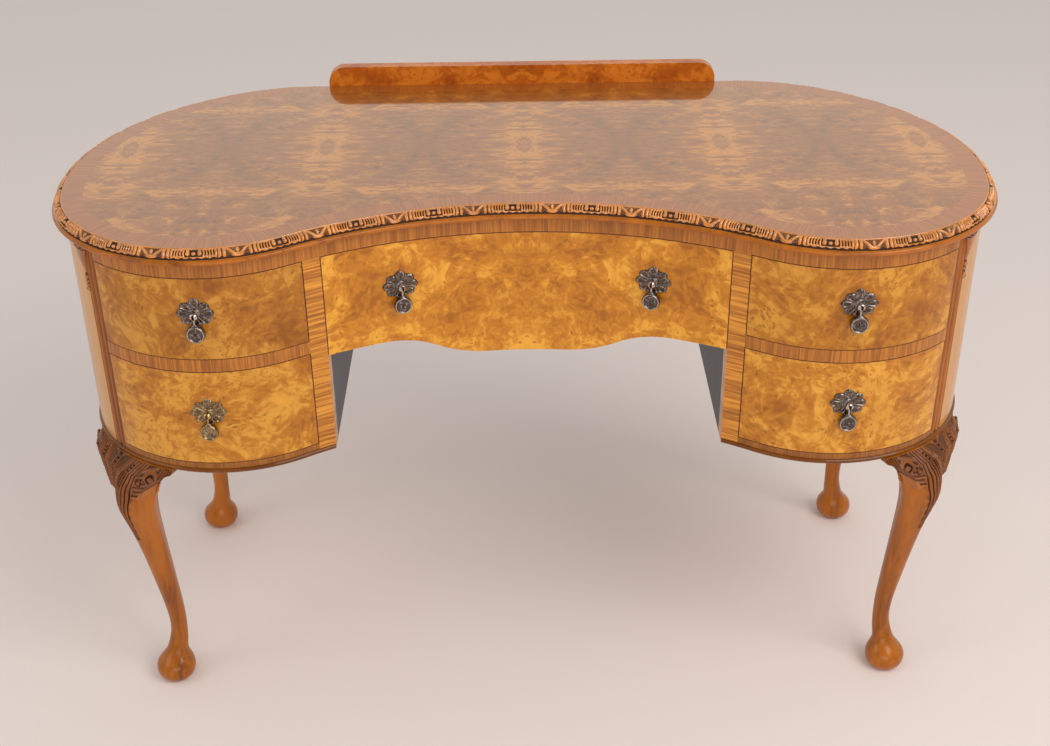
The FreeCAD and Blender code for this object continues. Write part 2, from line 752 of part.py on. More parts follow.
def pull_post():
    """The post's shank, its slotted ball and the pin that the drop hangs on."""
    seat = rose_thickness + rose_boss_thickness
    slot_half = eye_thickness / 2.0 + eye_clearance
    web = pin_reach - eye_radius - eye_clearance
    slot_top = eye_radius + eye_clearance
    shank = Part.makeCylinder(post_radius, web - seat, V(0.0, -seat, 0.0), V(0.0, -1.0, 0.0))
    ball = Part.makeSphere(ball_radius, V(0.0, -pin_reach, 0.0))
    slot = box(-slot_half, slot_half, -pin_reach - 2.0 * ball_radius, -web, -2.0 * ball_radius, slot_top)
    pin = Part.makeCylinder(pin_radius, 2.0 * slot_half, V(-slot_half, -pin_reach, 0.0), V(1.0, 0.0, 0.0))
    behind = box(-2.0 * ball_radius, 2.0 * ball_radius, -seat, 0.0, -2.0 * ball_radius, 2.0 * ball_radius)
    return ball.fuse(shank).cut(behind).cut(slot).fuse(pin).removeSplitter()


def pull_drop():
    """The hanging drop: an eye on the pin, a flat fan that widens below the ball, and a round dished knob."""
    eye_end = V(-eye_thickness / 2.0, -pin_reach, 0.0)
    eye = Part.makeCylinder(eye_radius, eye_thickness, eye_end, V(1.0, 0.0, 0.0))
    touch = knob_radius * fan_touch_share
    lean = math.asin(touch / (knob_drop - fan_apex_drop))
    fan_top_z = ball_radius + eye_clearance
    fan_top_half = (fan_top_z - fan_apex_drop) * math.tan(lean)
    fan_low_z = knob_drop - touch * math.sin(lean)
    fan_low_half = touch * math.cos(lean)
    fan_back = fan_thickness / 2.0 - pin_reach
    outline = [
        V(-fan_top_half, fan_back, -fan_top_z),
        V(fan_top_half, fan_back, -fan_top_z),
        V(fan_low_half, fan_back, -fan_low_z),
        V(-fan_low_half, fan_back, -fan_low_z),
        V(-fan_top_half, fan_back, -fan_top_z),
    ]
    fan = Part.Face(Part.makePolygon(outline)).extrude(V(0.0, -fan_thickness, 0.0))
    stalk_top = pin_radius + neck_top_radius
    stalk = Part.makeCylinder(neck_top_radius, fan_low_z - stalk_top, V(0.0, -pin_reach, -stalk_top),
                              V(0.0, 0.0, -1.0))
    neck = stalk.fuse(fan)
    half = knob_thickness / 2.0
    r = knob_radius
    c = knob_round
    turn = c * math.sqrt(0.5)
    back_y_local = -pin_reach + half
    face_y_local = -pin_reach - half
    profile = [
        Part.makeLine(V(0.0, back_y_local, 0.0), V(r - c, back_y_local, 0.0)),
        Part.Arc(V(r - c, back_y_local, 0.0), V(r - c + turn, back_y_local - c + turn, 0.0),
                 V(r, back_y_local - c, 0.0)).toShape(),
        Part.makeLine(V(r, back_y_local - c, 0.0), V(r, face_y_local + c, 0.0)),
        Part.Arc(V(r, face_y_local + c, 0.0), V(r - c + turn, face_y_local + c - turn, 0.0),
                 V(r - c, face_y_local, 0.0)).toShape(),
        Part.makeLine(V(r - c, face_y_local, 0.0), V(knob_dish_radius, face_y_local, 0.0)),
        Part.makeLine(V(knob_dish_radius, face_y_local, 0.0),
                      V(knob_dish_radius - knob_dish_depth, face_y_local + knob_dish_depth, 0.0)),
        Part.makeLine(V(knob_dish_radius - knob_dish_depth, face_y_local + knob_dish_depth, 0.0),
                      V(0.0, face_y_local + knob_dish_depth, 0.0)),
        Part.makeLine(V(0.0, face_y_local + knob_dish_depth, 0.0), V(0.0, back_y_local, 0.0)),
    ]
    knob = Part.Face(Part.Wire(profile)).revolve(V(0.0, 0.0, 0.0), V(0.0, 1.0, 0.0), 360.0)
    knob.translate(V(0.0, 0.0, -knob_drop))
    bore = Part.makeCylinder(pin_radius + pin_bore_clearance, 2.0 * eye_thickness,
                             V(-eye_thickness, -pin_reach, 0.0), V(1.0, 0.0, 0.0))
    return eye.fuse(neck).fuse(knob).removeSplitter().cut(bore)


def pull_place(x):
    """Where a pull's axis meets the carcase face at x, and the turn that faces it outwards."""
    side = -1.0 if x < 0.0 else 1.0
    inflection_x = half_arcs(-carcase_inset)[0][2].x
    if abs(x) < inflection_x:
        r = hollow_radius + carcase_inset
        point = V(x, hollow_centre.y + math.sqrt(r ** 2 - x ** 2), 0.0)
        outward = unit(hollow_centre - point)
        point = point + outward * hollow_rose_clearance
    else:
        r = carcase_lobe_radius
        centre = V(side * lobe_x, lobe_y, 0.0)
        point = V(x, lobe_y - math.sqrt(r ** 2 - (x - centre.x) ** 2), 0.0)
        outward = unit(point - centre)
    return point, math.degrees(math.atan2(outward.x, -outward.y))


def placed(shape, x, z):
    point, turn = pull_place(x)
    copy = shape.copy()
    copy.rotate(V(0.0, 0.0, 0.0), V(0.0, 0.0, 1.0), turn)
    copy.translate(V(point.x, point.y, z))
    return copy


def pull_height(z_low, z_high):
    return (z_low + z_high) / 2.0 + pull_rise


def build():
    nodes = {}
    screws = upstand_screws()
    nodes["top_board"] = plan_solid(0.0, top_under_z, table_height).cut(Part.makeCompound(screws))
    nodes["carved_edge_moulding"] = edge_moulding()
    nodes["upstand_screws"] = screws
    nodes["upstand_board"] = upstand_board(screws)
    nodes["frieze_rail"] = frieze_rail()

    post = corner_post()
    panel = end_panel()
    side = kneehole_side()
    upright = stile()
    divider = front_rail(divider_depth, divider_z, upper_z)
    base = front_rail(rail_thickness, leg_height, lower_z)
    bottom = pedestal_bottom([post, base, upright])
    nodes["end_panel_right"] = panel
    nodes["end_panel_left"] = mirrored(panel)
    drop = carved_drop([post, panel])

    obstacles = [post, panel, divider, upright, base]
    outer_runner = strip(opening_outer_x - runner_width, opening_outer_x, divider_z, upper_z, obstacles)
    inner_runner = strip(panel_inner_x, panel_inner_x + runner_width, divider_z, upper_z, obstacles)
    guides = []
    for z_low, z_high in ((lower_z, lower_z + guide_height), (divider_z, upper_z + guide_height)):
        guides.append(strip(opening_outer_x, opening_outer_x + guide_width, z_low, z_high, obstacles))
    for z_low in (lower_z, upper_z):
        guides.append(strip(panel_inner_x, opening_inner_x, z_low, z_low + guide_height, obstacles))
    kickers = []
    frieze_zone = band(-carcase_inset, -carcase_inset - rail_thickness, frieze_z, top_under_z)
    for x_low in (panel_inner_x, opening_outer_x - kicker_width):
        kickers.append(strip(x_low, x_low + kicker_width, frieze_z, top_under_z, [post, panel, frieze_zone]))
    back_limit = back_face_y - back_thickness
    centre_zone = plan_solid(-carcase_inset - front_thickness - front_gap, centre_low_z, top_under_z)
    centre_runner = centre_zone.common(box(kneehole_half - runner_width, kneehole_half, -reach, back_limit,
                                           centre_low_z, centre_low_z + centre_runner_height))
    centre_kicker_zone = plan_solid(-carcase_inset - rail_thickness, frieze_z, top_under_z)
    centre_kicker = centre_kicker_zone.common(box(kneehole_half - kicker_width, kneehole_half, -reach,
                                                  back_limit, frieze_z, top_under_z))
    blocks = glue_blocks([panel, post] + kickers)

    front_leg, front_peg = cabriole_leg(lobe_centre, lobe_radius, -front_leg_angle, -front_foot_turn,
                                        front_foot_inset, front_leg_sway)
    rear_leg, rear_peg = cabriole_leg(end_centre, end_radius, rear_leg_angle, rear_foot_turn,
                                      rear_foot_inset, rear_leg_sway)
    bottom = bottom.cut(Part.makeCompound([front_peg, rear_peg]))
    ears = knee_ears(lobe_centre, lobe_radius, -front_leg_angle, front_leg)
    ears += knee_ears(end_centre, end_radius, rear_leg_angle, rear_leg)
    nodes["front_leg_right"] = front_leg
    nodes["front_leg_left"] = mirrored(front_leg)
    nodes["rear_leg_right"] = rear_leg
    nodes["rear_leg_left"] = mirrored(rear_leg)

    groups = {
        "corner_posts": [post],
        "kneehole_sides": [side],
        "knee_ears": ears,
        "carved_drops": [drop],
        "stiles": [upright],
        "divider_rails": [divider],
        "base_rails": [base],
        "base_beads": [largest(base_bead().cut(post))],
        "pedestal_bottoms": [bottom],
        "back_panels": [back_panel()],
        "side_drawer_runners": [outer_runner, inner_runner],
        "side_drawer_guides": guides,
        "side_drawer_kickers": kickers,
        "centre_drawer_runners": [centre_runner],
        "centre_drawer_kickers": [centre_kicker],
        "glue_blocks": blocks,
    }
    for name, shapes in groups.items():
        nodes[name] = shapes + [mirrored(shape) for shape in shapes]
    nodes["centre_back_rail"] = centre_back_rail()

    rose = rose_plate()
    stem = pull_post()
    pendant = pull_drop()
    side_pull_x = (opening_inner_x + opening_outer_x) / 2.0
    drawers = []
    for level, z_low, z_high in (("upper", upper_z, frieze_z), ("lower", lower_z, divider_z)):
        front_low = z_low + front_gap
        pieces = drawer_pieces(opening_inner_x, opening_outer_x, z_low, z_high - front_gap,
                               z_low + slide_clearance, z_high - drawer_box_headroom,
                               side_drawer_length, front_low)
        z = pull_height(z_low, z_high)
        flipped = [mirrored(pieces[0]), [mirrored(p) for p in pieces[1]]]
        flipped += [mirrored(pieces[2]), mirrored(pieces[3])]
        drawers.append((level + "_right_drawer", pieces, [side_pull_x], z))
        drawers.append((level + "_left_drawer", flipped, [-side_pull_x], z))
    centre = drawer_pieces(-kneehole_half, kneehole_half, centre_low_z, frieze_z - front_gap,
                           centre_low_z + centre_runner_height + slide_clearance,
                           frieze_z - drawer_box_headroom, centre_drawer_length, centre_low_z - apron_dip)
    centre = (largest(centre[0].cut(apron_cut())),) + tuple(centre[1:])
    half_spacing = centre_pull_spacing / 2.0
    centre_pull_z = pull_height(centre_low_z, frieze_z)
    drawers.append(("centre_drawer", centre, [-half_spacing, half_spacing], centre_pull_z))

    for name, pieces, pull_xs, z in drawers:
        nodes[name + "_front"] = pieces[0]
        nodes[name + "_sides"] = pieces[1]
        nodes[name + "_back"] = pieces[2]
        nodes[name + "_bottom"] = pieces[3]
        roses = [placed(rose, x, z) for x in pull_xs]
        roses += [placed(stem, x, z) for x in pull_xs]
        nodes[name + "_roses" if len(pull_xs) > 1 else name + "_rose"] = roses
        for x in pull_xs:
            ending = "" if len(pull_xs) == 1 else ("_right" if x > 0.0 else "_left")
            nodes[name + "_drop_pull" + ending] = placed(pendant, x, z)
    return nodes


def main():
    os.makedirs("parts", exist_ok=True)
    for name, shape in build().items():
        solids = shape if isinstance(shape, list) else [shape]
        whole = solids[0] if len(solids) == 1 else Part.makeCompound(solids)
        whole.exportStep("parts/" + name + ".step")
        state = "valid" if all(solid.isValid() for solid in solids) else "INVALID"
        print(name, len(whole.Solids), "solids", round(whole.Volume / 1000.0, 1), "cm3", state)


main()
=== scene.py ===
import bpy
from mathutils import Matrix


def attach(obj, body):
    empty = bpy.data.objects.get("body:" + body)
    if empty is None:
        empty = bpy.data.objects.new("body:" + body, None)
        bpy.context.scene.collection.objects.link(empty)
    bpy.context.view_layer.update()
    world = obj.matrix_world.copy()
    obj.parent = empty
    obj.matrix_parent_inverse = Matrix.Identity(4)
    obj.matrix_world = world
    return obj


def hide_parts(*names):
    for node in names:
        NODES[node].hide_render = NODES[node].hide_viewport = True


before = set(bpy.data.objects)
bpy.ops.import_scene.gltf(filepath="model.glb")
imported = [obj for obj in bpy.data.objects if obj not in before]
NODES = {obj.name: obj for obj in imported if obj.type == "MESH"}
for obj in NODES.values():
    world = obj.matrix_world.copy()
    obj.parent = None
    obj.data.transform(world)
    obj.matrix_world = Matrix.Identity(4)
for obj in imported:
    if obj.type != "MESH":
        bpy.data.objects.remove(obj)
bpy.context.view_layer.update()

import math

import bpy
import numpy as np
from mathutils import Matrix, Vector

bl_info = {
    "name": "Kidney Dressing Table",
    "version": (1, 0, 0),
    "blender": (4, 5, 0),
    "location": "View3D > Sidebar > Dressing Table",
    "description": "Dresses the frame of a kidney-shaped walnut dressing table: veneers, carving and pulls",
    "category": "Object",
}

MM = 0.001
QUARTER_TURN = math.pi / 2.0
MIRROR = Matrix.Diagonal((-1.0, 1.0, 1.0, 1.0))


# Sizes and colours that a user would change
def colour_property(name, description, default):
    return bpy.props.FloatVectorProperty(name=name, description=description, subtype="COLOR", size=3,
                                         min=0.0, max=1.0, default=default)


def length_property(name, description, default):
    return bpy.props.FloatProperty(name=name, description=description, unit="LENGTH", subtype="DISTANCE",
                                   precision=4, default=default)


class PlanSettings(bpy.types.PropertyGroup):
    flat_width: length_property("Flat width", "Width of the flat top inside the moulding", 1.242)
    top_depth: length_property("Top depth", "Depth of the flat top, lobes to back", 0.565)
    hollow_depth: length_property("Hollow depth", "How far the front's hollow goes in", 0.122)
    lobe_radius: length_property("Lobe radius", "Radius of the two front lobes", 0.203)
    widest_from_back: length_property("Widest from back", "Where the ends are widest", 0.333)
    rear_overshoot: length_property("Rear overshoot", "How much the end radius exceeds that", 0.012)
    rear_radius: length_property("Rear radius", "Radius of the rear corners", 0.260)
    rim_projection: length_property("Rim projection", "How far the moulding stands out", 0.014)
    board_thickness: length_property("Board thickness", "Thickness of the upstand board", 0.018)
    table_height: length_property("Table height", "Height of the flat top", 0.740)
    top_under: length_property("Top underside", "Height of the underside of the top", 0.7205)
    crossband_width: length_property("Crossband width", "Width of the border round the top", 0.028)


class CarvingSettings(bpy.types.PropertyGroup):
    repeat: length_property("Repeat", "Length of one repeat of the edge carving", 0.104)
    first_eye: length_property("First eye", "Where the first eye stands from the middle", -0.0175)
    relief: length_property("Relief", "Depth of the edge carving", 0.0031)
    bead_radius: length_property("Bead radius", "Radius of the bead under the carving", 0.0035)
    bead_step: length_property("Bead step", "Step between carving and bead", 0.001)
    knee_relief: length_property("Knee relief", "Depth of the carving on the knees", 0.0025)


class LegSettings(bpy.types.PropertyGroup):
    height: length_property("Leg height", "Height of the legs", 0.404)
    pad_radius: length_property("Pad radius", "Radius of the pad feet", 0.0285)
    ankle_radius: length_property("Ankle radius", "Radius of the ankles", 0.0124)
    knee_half_width: length_property("Knee half width", "Half width of the knees", 0.030)
    front_inset: length_property("Front foot inset", "How far the front feet stand in", 0.014)
    front_sway: length_property("Front sway", "How far the front legs sway out", 0.0285)
    rear_inset: length_property("Rear foot inset", "How far the rear feet stand in", 0.018)
    rear_sway: length_property("Rear sway", "How far the rear legs sway out", 0.020)
    ear_drop: length_property("Ear drop", "Height of the ears", 0.056)
    ear_inner_reach: length_property("Inner ear reach", "Length of the ears towards the kneehole", 0.078)
    ear_outer_reach: length_property("Outer ear reach", "Length of the ears towards the ends", 0.092)


class PullSettings(bpy.types.PropertyGroup):
    rose_half_width: length_property("Rose half width", "Half width of the rose plate", 0.0245)
    rose_half_height: length_property("Rose half height", "Half height of the rose plate", 0.0195)
    pin_reach: length_property("Pin reach", "How far the pin stands out", 0.0096)
    ball_radius: length_property("Ball radius", "Radius of the slotted ball", 0.0055)
    disc_radius: length_property("Disc radius", "Radius of the hanging disc", 0.0123)
    disc_drop: length_property("Disc drop", "How far the disc hangs below the pin", 0.025)
    side_upper: length_property("Upper pulls", "Height of the upper side pulls", 0.648)
    side_lower: length_property("Lower pulls", "Height of the lower side pulls", 0.500)
    centre_height: length_property("Centre pulls", "Height of the centre drawer's pulls", 0.634)
    side_place: length_property("Side place", "Side pulls from the middle", 0.4200)
    centre_place: length_property("Centre place", "Centre pulls from the middle", 0.1675)


class FinishSettings(bpy.types.PropertyGroup):
    burr_light: colour_property("Burr, light", "Light gold of the drawer burr", (0.74, 0.335, 0.038))
    burr_middle: colour_property("Burr, middle", "Middle tone of the drawer burr", (0.57, 0.208, 0.014))
    burr_dark: colour_property("Burr, dark", "Brown cloud of the drawer burr", (0.36, 0.108, 0.005))
    top_light: colour_property("Top, light", "Light tone of the top's burr", (0.58, 0.212, 0.024))
    top_middle: colour_property("Top, middle", "Middle tone of the top's burr", (0.355, 0.104, 0.010))
    top_dark: colour_property("Top, dark", "Smoky tone of the top's burr", (0.150, 0.038, 0.006))
    band_light: colour_property("Rail, light", "Light streak of the rails", (0.61, 0.218, 0.029))
    band_dark: colour_property("Rail, dark", "Dark streak of the rails", (0.22, 0.056, 0.007))
    stile_light: colour_property("Stile, light", "Light band of the stiles", (0.84, 0.345, 0.040))
    stile_dark: colour_property("Stile, dark", "Dark band of the stiles", (0.27, 0.066, 0.007))
    solid_light: colour_property("Solid walnut, light", "Golden brown of the legs", (0.42, 0.118, 0.006))
    solid_dark: colour_property("Solid walnut, dark", "Dark streak of the legs", (0.20, 0.048, 0.004))
    panel_light: colour_property("End panel", "Pale gold of the end panels", (0.62, 0.290, 0.075))
    carved_high: colour_property("Edge carving, raised", "Raised parts of the edge carving",
                                 (0.66, 0.225, 0.028))
    # painted shade in the hollows of the edge carving
    carved_hollow_shade: colour_property("Edge carving, hollows", "Stained hollows of the edge carving",
                                (0.060, 0.020, 0.012))
    knee_high: colour_property("Knee carving, raised", "Raised parts of the knee carving",
                               (0.245, 0.070, 0.011))
    # painted shade in the hollows of the knee carving
    knee_hollow_shade: colour_property("Knee carving, hollows", "Hollows of the knee carving", (0.040, 0.012, 0.005))
    # a dark joint line with painted shade of the gap round each drawer
    joint_line_and_gap_shade: colour_property("Joint line", "Dark line round each drawer", (0.085, 0.016, 0.006))
    bronze_dark: colour_property("Bronze, dark", "Aged brown-black of the pulls", (0.105, 0.080, 0.074))
    # the bright bronze of worn patches, also painted on the high points as highlight
    bronze_worn_and_highlight: colour_property("Bronze, worn", "Where the pulls are rubbed bright", (0.66, 0.57, 0.51))
    brass_worn: colour_property("Brass, worn", "The rubbed lower left pull", (0.55, 0.38, 0.17))
    stained: colour_property("Stained side", "Dark grey of the kneehole sides", (0.062, 0.070, 0.086))
    inner: colour_property("Inner wood", "Plain wood inside", (0.50, 0.31, 0.15))


class StageSettings(bpy.types.PropertyGroup):
    floor: colour_property("Floor", "Pale floor", (0.90, 0.775, 0.70))
    sky: colour_property("Surround", "Pale surround", (0.93, 0.96, 1.0))
    warm: colour_property("Surround in gloss", "Surround as the polish reflects it", (1.0, 0.905, 0.78))
    key: bpy.props.FloatProperty(name="Key light", description="Strength of the soft key light", default=44.0)
    fill: bpy.props.FloatProperty(name="Surround strength", description="Surround's light on the table",
                                  default=0.62)
    room: bpy.props.FloatProperty(name="Room behind", description="Surround's reflected light from the front",
                                  default=0.20)


# Node materials
class Value:
    """A socket that can be used in sums. Each sum adds the Math node that it needs."""

    def __init__(self, nodes, socket):
        self.nodes = nodes
        self.socket = socket

    def sum(self, operation, *operands):
        return self.nodes.add("Math", {"operation": operation}, dict(enumerate(operands)))

    def __add__(self, other):
        return self.sum("ADD", self, other)

    def __sub__(self, other):
        return self.sum("SUBTRACT", self, other)

    def __rsub__(self, other):
        return self.sum("SUBTRACT", other, self)

    def __mul__(self, other):
        return self.sum("MULTIPLY", self, other)

    def __abs__(self):
        return self.sum("ABSOLUTE", self)

    __radd__ = __add__
    __rmul__ = __mul__

    def at_most(self, other):
        return self.sum("MINIMUM", self, other)

    def at_least(self, other):
        return self.sum("MAXIMUM", self, other)

    def step(self, low, high):
        """Nought below low, one above high, smooth between."""
        return self.nodes.add("MapRange", {"interpolation_type": "SMOOTHSTEP"},
                              {"Value": self, "From Min": low, "From Max": high})

    def spread(self, low, high, low_from=0.0, high_from=1.0):
        """From low to high in a straight line, as the value goes from one limit to the other."""
        return self.nodes.add("MapRange", sockets={"Value": self, "From Min": low_from, "From Max": high_from,
                                                   "To Min": low, "To Max": high})


class Nodes:
    """The nodes of a material or of the surround, and short ways to add to them."""

    def __init__(self, owner, shader):
        owner.use_nodes = True
        self.tree = owner.node_tree
        self.shader = self.tree.nodes[shader]

    def add(self, kind, settings=None, sockets=None, output=0):
        node = self.tree.nodes.new("ShaderNode" + kind)
        for key, setting in (settings or {}).items():
            if key == "stops":
                while len(node.color_ramp.elements) < len(setting):
                    node.color_ramp.elements.new(1.0)
                for element, (place, colour) in zip(node.color_ramp.elements, setting):
                    element.position = place
                    element.color = (*colour, 1.0)
            else:
                setattr(node, key, setting)
        for key, given in (sockets or {}).items():
            if isinstance(given, Value):
                self.tree.links.new(given.socket, node.inputs[key])
            else:
                node.inputs[key].default_value = given
        return Value(self, node.outputs[output])

    def set(self, name, value):
        self.tree.links.new(value.socket, self.shader.inputs[name])

    def parts(self, vector):
        split = self.add("SeparateXYZ", sockets={0: vector}).socket.node
        return [Value(self, split.outputs[i]) for i in range(3)]

    def mix(self, share, first, second):
        def colour(given):
            return given if isinstance(given, Value) else (*given, 1.0)
        return self.add("Mix", {"data_type": "RGBA"}, {0: share, 6: colour(first), 7: colour(second)},
                        output=2)


class Finish(Nodes):
    """A material and the nodes that make it up."""

    def __init__(self, name, **constants):
        self.material = bpy.data.materials.new(name)
        super().__init__(self.material, "Principled BSDF")
        for key, value in constants.items():
            self.shader.inputs[key.replace("_", " ")].default_value = value

    def place(self):
        return self.add("TexCoord", output="Object")

    def join(self, x, y, z):
        return self.add("CombineXYZ", sockets={0: x, 1: y, 2: z})

    def stretch(self, vector, scale, offset=(0.0, 0.0, 0.0)):
        return self.add("Mapping", sockets={"Vector": vector, "Scale": scale, "Location": offset})

    def noise(self, vector, scale, detail, roughness, distortion=0.0, output="Fac"):
        return self.add("TexNoise", sockets={"Vector": vector, "Scale": scale, "Detail": detail,
                                             "Roughness": roughness, "Distortion": distortion}, output=output)

    def stored(self, name):
        """A value that the piece's points carry under that name."""
        return self.add("Attribute", {"attribute_type": "GEOMETRY", "attribute_name": name}, output="Fac")

    def ramp(self, share, stops):
        return self.add("ValToRGB", {"stops": stops}, {0: share}, output="Color")

    def bend(self, vector, scale, reach):
        """The vector moved about by slow noise, for figure that swirls."""
        drift = self.noise(vector, scale, 2.0, 0.5, output="Color")
        centred = self.add("VectorMath", {"operation": "SUBTRACT"}, {0: drift, 1: (0.5, 0.5, 0.5)})
        scaled = self.add("VectorMath", {"operation": "SCALE"}, {0: centred, "Scale": reach})
        return self.add("VectorMath", {"operation": "ADD"}, {0: vector, 1: scaled})

    def done(self, colour, roughness, height, strength, distance):
        """Sets the colour, the roughness and the bump of that height, and returns the material."""
        self.set("Base Color", colour)
        self.set("Roughness", roughness)
        self.set("Normal", self.add("Bump", sockets={"Strength": strength, "Distance": distance,
                                                     "Height": height}, output="Normal"))
        return self.material


def blend_colours(first, second, share):
    return tuple(a + (b - a) * share for a, b in zip(first, second))


def scaled_colour(colour, factor):
    return tuple(min(1.0, c * factor) for c in colour)


def tinted(colour, tint):
    return tuple(min(1.0, c * t) for c, t in zip(colour, tint))


POLISH = {"Specular_IOR_Level": 0.15, "Coat_Weight": 0.48, "Coat_Roughness": 0.06, "Coat_IOR": 1.5}
TOP_POLISH = {"Specular_IOR_Level": 0.15, "Coat_Weight": 1.0, "Coat_Roughness": 0.06, "Coat_IOR": 1.75}
LONG_GRAIN = (1.0, 1.0, 0.10)
JOINT_LINE = 0.0007
LEAF_WIDTH, LEAF_SEAM = 0.139, 0.034


def drawer_finish(name, place_of, lines_of, tone, seed):
    """Golden burr walnut of the drawer fronts: brown clouds, curdled mottle, curls and groups of pips. The
    seed moves the figure along, so that no two fronts are alike."""
    look = bpy.context.scene.finish_settings
    finish = Finish(name, **POLISH)
    place = finish.stretch(place_of(finish), (1.0, 1.0, 1.0), (seed, 0.0, seed * 0.37))
    bent = finish.bend(place, 7.0, 0.070)
    curled = finish.bend(bent, 30.0, 0.020)
    cloud = finish.noise(bent, 13.0, 3.0, 0.50, 0.4)
    mottle = finish.noise(bent, 70.0, 3.0, 0.55, 1.2)
    swirl = finish.noise(curled, 30.0, 3.0, 0.55, 1.6)
    fine = finish.noise(curled, 300.0, 3.0, 0.65)
    share = cloud * 0.36 + mottle * 0.28 + swirl * 0.27 + fine * 0.09
    light, middle, dark = (tinted(c, tone) for c in (look.burr_light, look.burr_middle, look.burr_dark))
    wood = finish.ramp(share, [(0.395, dark), (0.455, blend_colours(dark, middle, 0.62)),
                               (0.500, middle), (0.555, light), (0.64, scaled_colour(light, 1.10))])
    smoke = finish.noise(finish.bend(place, 4.0, 0.10), 7.5, 3.0, 0.6, 0.5).step(0.53, 0.68)
    wood = finish.mix(smoke * 0.30, wood, blend_colours(dark, middle, 0.15))
    cells = finish.add("TexVoronoi", sockets={"Vector": curled, "Scale": 120.0}, output="Distance")
    groups = finish.noise(place, 26.0, 2.0, 0.5).step(0.54, 0.62)
    pip = (1.0 - cells.step(0.12, 0.34)) * groups
    wood = finish.mix(pip * 0.62, wood, scaled_colour(look.burr_dark, 0.55))
    if lines_of:
        # the dark joint line and painted shade of the gap along the front's edges
        wood = finish.mix(lines_of(finish), wood, look.joint_line_and_gap_shade)
    return finish.done(wood, 0.30 + mottle * 0.14, mottle * 0.5 + fine * 0.3 + pip * -0.5, 0.08, 0.0004)


def edge_lines(low_x, high_x, low_z, high_z):
    """A mask that is one along the edges of a drawer front, from the object's own coordinates, where a dark
    joint line and painted shade of the gap round the front are laid.
    """
    def lines(finish):
        x, _, z = finish.parts(finish.place())
        middle_x, middle_z = (low_x + high_x) / 2.0, (low_z + high_z) / 2.0
        across = (high_x - low_x) / 2.0 - abs(abs(x) - middle_x)
        along = (high_z - low_z) / 2.0 - abs(z - middle_z)
        return 1.0 - across.at_most(along).step(JOINT_LINE * 0.6, JOINT_LINE * 1.5)
    return lines


def top_finish(name):
    """The top's smoky burr, matched leaf by leaf about four axes a side and one long seam."""
    look = bpy.context.scene.finish_settings
    finish = Finish(name, **TOP_POLISH)
    x, y, z = finish.parts(finish.place())
    leaf = finish.add("Math", {"operation": "PINGPONG"}, {0: x, 1: LEAF_WIDTH})
    seam = abs(y - LEAF_SEAM)
    place = finish.join(leaf * 0.55 + 0.4, seam + 0.2, z)
    bent = finish.bend(place, 9.0, 0.060)
    curled = finish.bend(bent, 34.0, 0.018)
    figure = finish.noise(bent, 34.0, 4.0, 0.58, 0.8)
    broad = finish.noise(bent, 12.0, 3.0, 0.55, 0.4)
    mottle = finish.noise(curled, 110.0, 4.0, 0.62, 0.5)
    fine = finish.noise(curled, 360.0, 3.0, 0.6)
    share = broad * 0.34 + figure * 0.30 + mottle * 0.24 + fine * 0.12
    wood = finish.ramp(share, [(0.405, blend_colours(look.top_dark, look.top_middle, 0.15)),
                               (0.460, blend_colours(look.top_dark, look.top_middle, 0.75)),
                               (0.503, look.top_middle), (0.550, look.top_light),
                               (0.62, scaled_colour(look.top_light, 1.20))])
    slant = abs((LEAF_WIDTH - leaf) - seam * 0.42)
    smoke = (0.030 + (broad - 0.5) * 0.16 + (figure - 0.5) * 0.10 - slant).step(-0.012, 0.022)
    smoke = smoke * finish.noise(bent, 22.0, 3.0, 0.6).step(0.38, 0.56)
    wood = finish.mix(smoke * 0.55, wood, look.top_dark)
    return finish.done(wood, 0.27 + figure * 0.12, figure * 0.4 + mottle * 0.35 + fine * 0.25, 0.10, 0.0005)


def band_finish(name, place_of, along, light, dark, polish, scale, depth):
    """Straight-grained walnut with its grain across a border or rail. The scale makes the streaks finer and
    the depth makes them stronger."""
    finish = Finish(name, **polish)
    lines = finish.stretch(finish.bend(place_of(finish), 14.0, 0.004), along)
    broad = finish.noise(lines, 90.0 * scale, 3.0, 0.55)
    streak = finish.noise(lines, 330.0 * scale, 3.0, 0.62)
    pores = finish.noise(lines, 800.0 * scale, 3.0, 0.6)
    share = broad * 0.26 + streak * 0.60 + pores * 0.14
    middle = blend_colours(dark, light, 0.6)
    wood = finish.ramp(share, [(0.40, blend_colours(middle, dark, depth)),
                               (0.475, blend_colours(middle, dark, depth * 0.5)), (0.52, middle),
                               (0.60, blend_colours(middle, light, depth))])
    return finish.done(wood, 0.26 + streak * 0.16, streak * 0.6 + pores * 0.4, 0.08, 0.0004)


def solid_wood(finish, light, dark, along):
    """The colour and the grain of solid walnut with long soft grain."""
    place = finish.bend(finish.place(), 5.0, 0.02)
    lines = finish.stretch(place, along)
    broad = finish.noise(lines, 24.0, 3.0, 0.5, 0.4)
    streak = finish.noise(lines, 150.0, 5.0, 0.62, 0.3)
    share = broad * 0.62 + streak * 0.38
    wood = finish.ramp(share, [(0.34, dark), (0.44, blend_colours(dark, light, 0.60)), (0.53, light),
                               (0.68, scaled_colour(light, 1.20))])
    return wood, streak


def solid_finish(name, along=LONG_GRAIN, tone=1.0, light=None, dark=None):
    """Solid walnut, polished, of the legs' colours where no others are given."""
    look = bpy.context.scene.finish_settings
    finish = Finish(name, **POLISH)
    light = scaled_colour(light or look.solid_light, tone)
    dark = scaled_colour(dark or look.solid_dark, tone)
    wood, streak = solid_wood(finish, light, dark, along)
    return finish.done(wood, 0.26 + streak * 0.16, streak, 0.08, 0.0004)


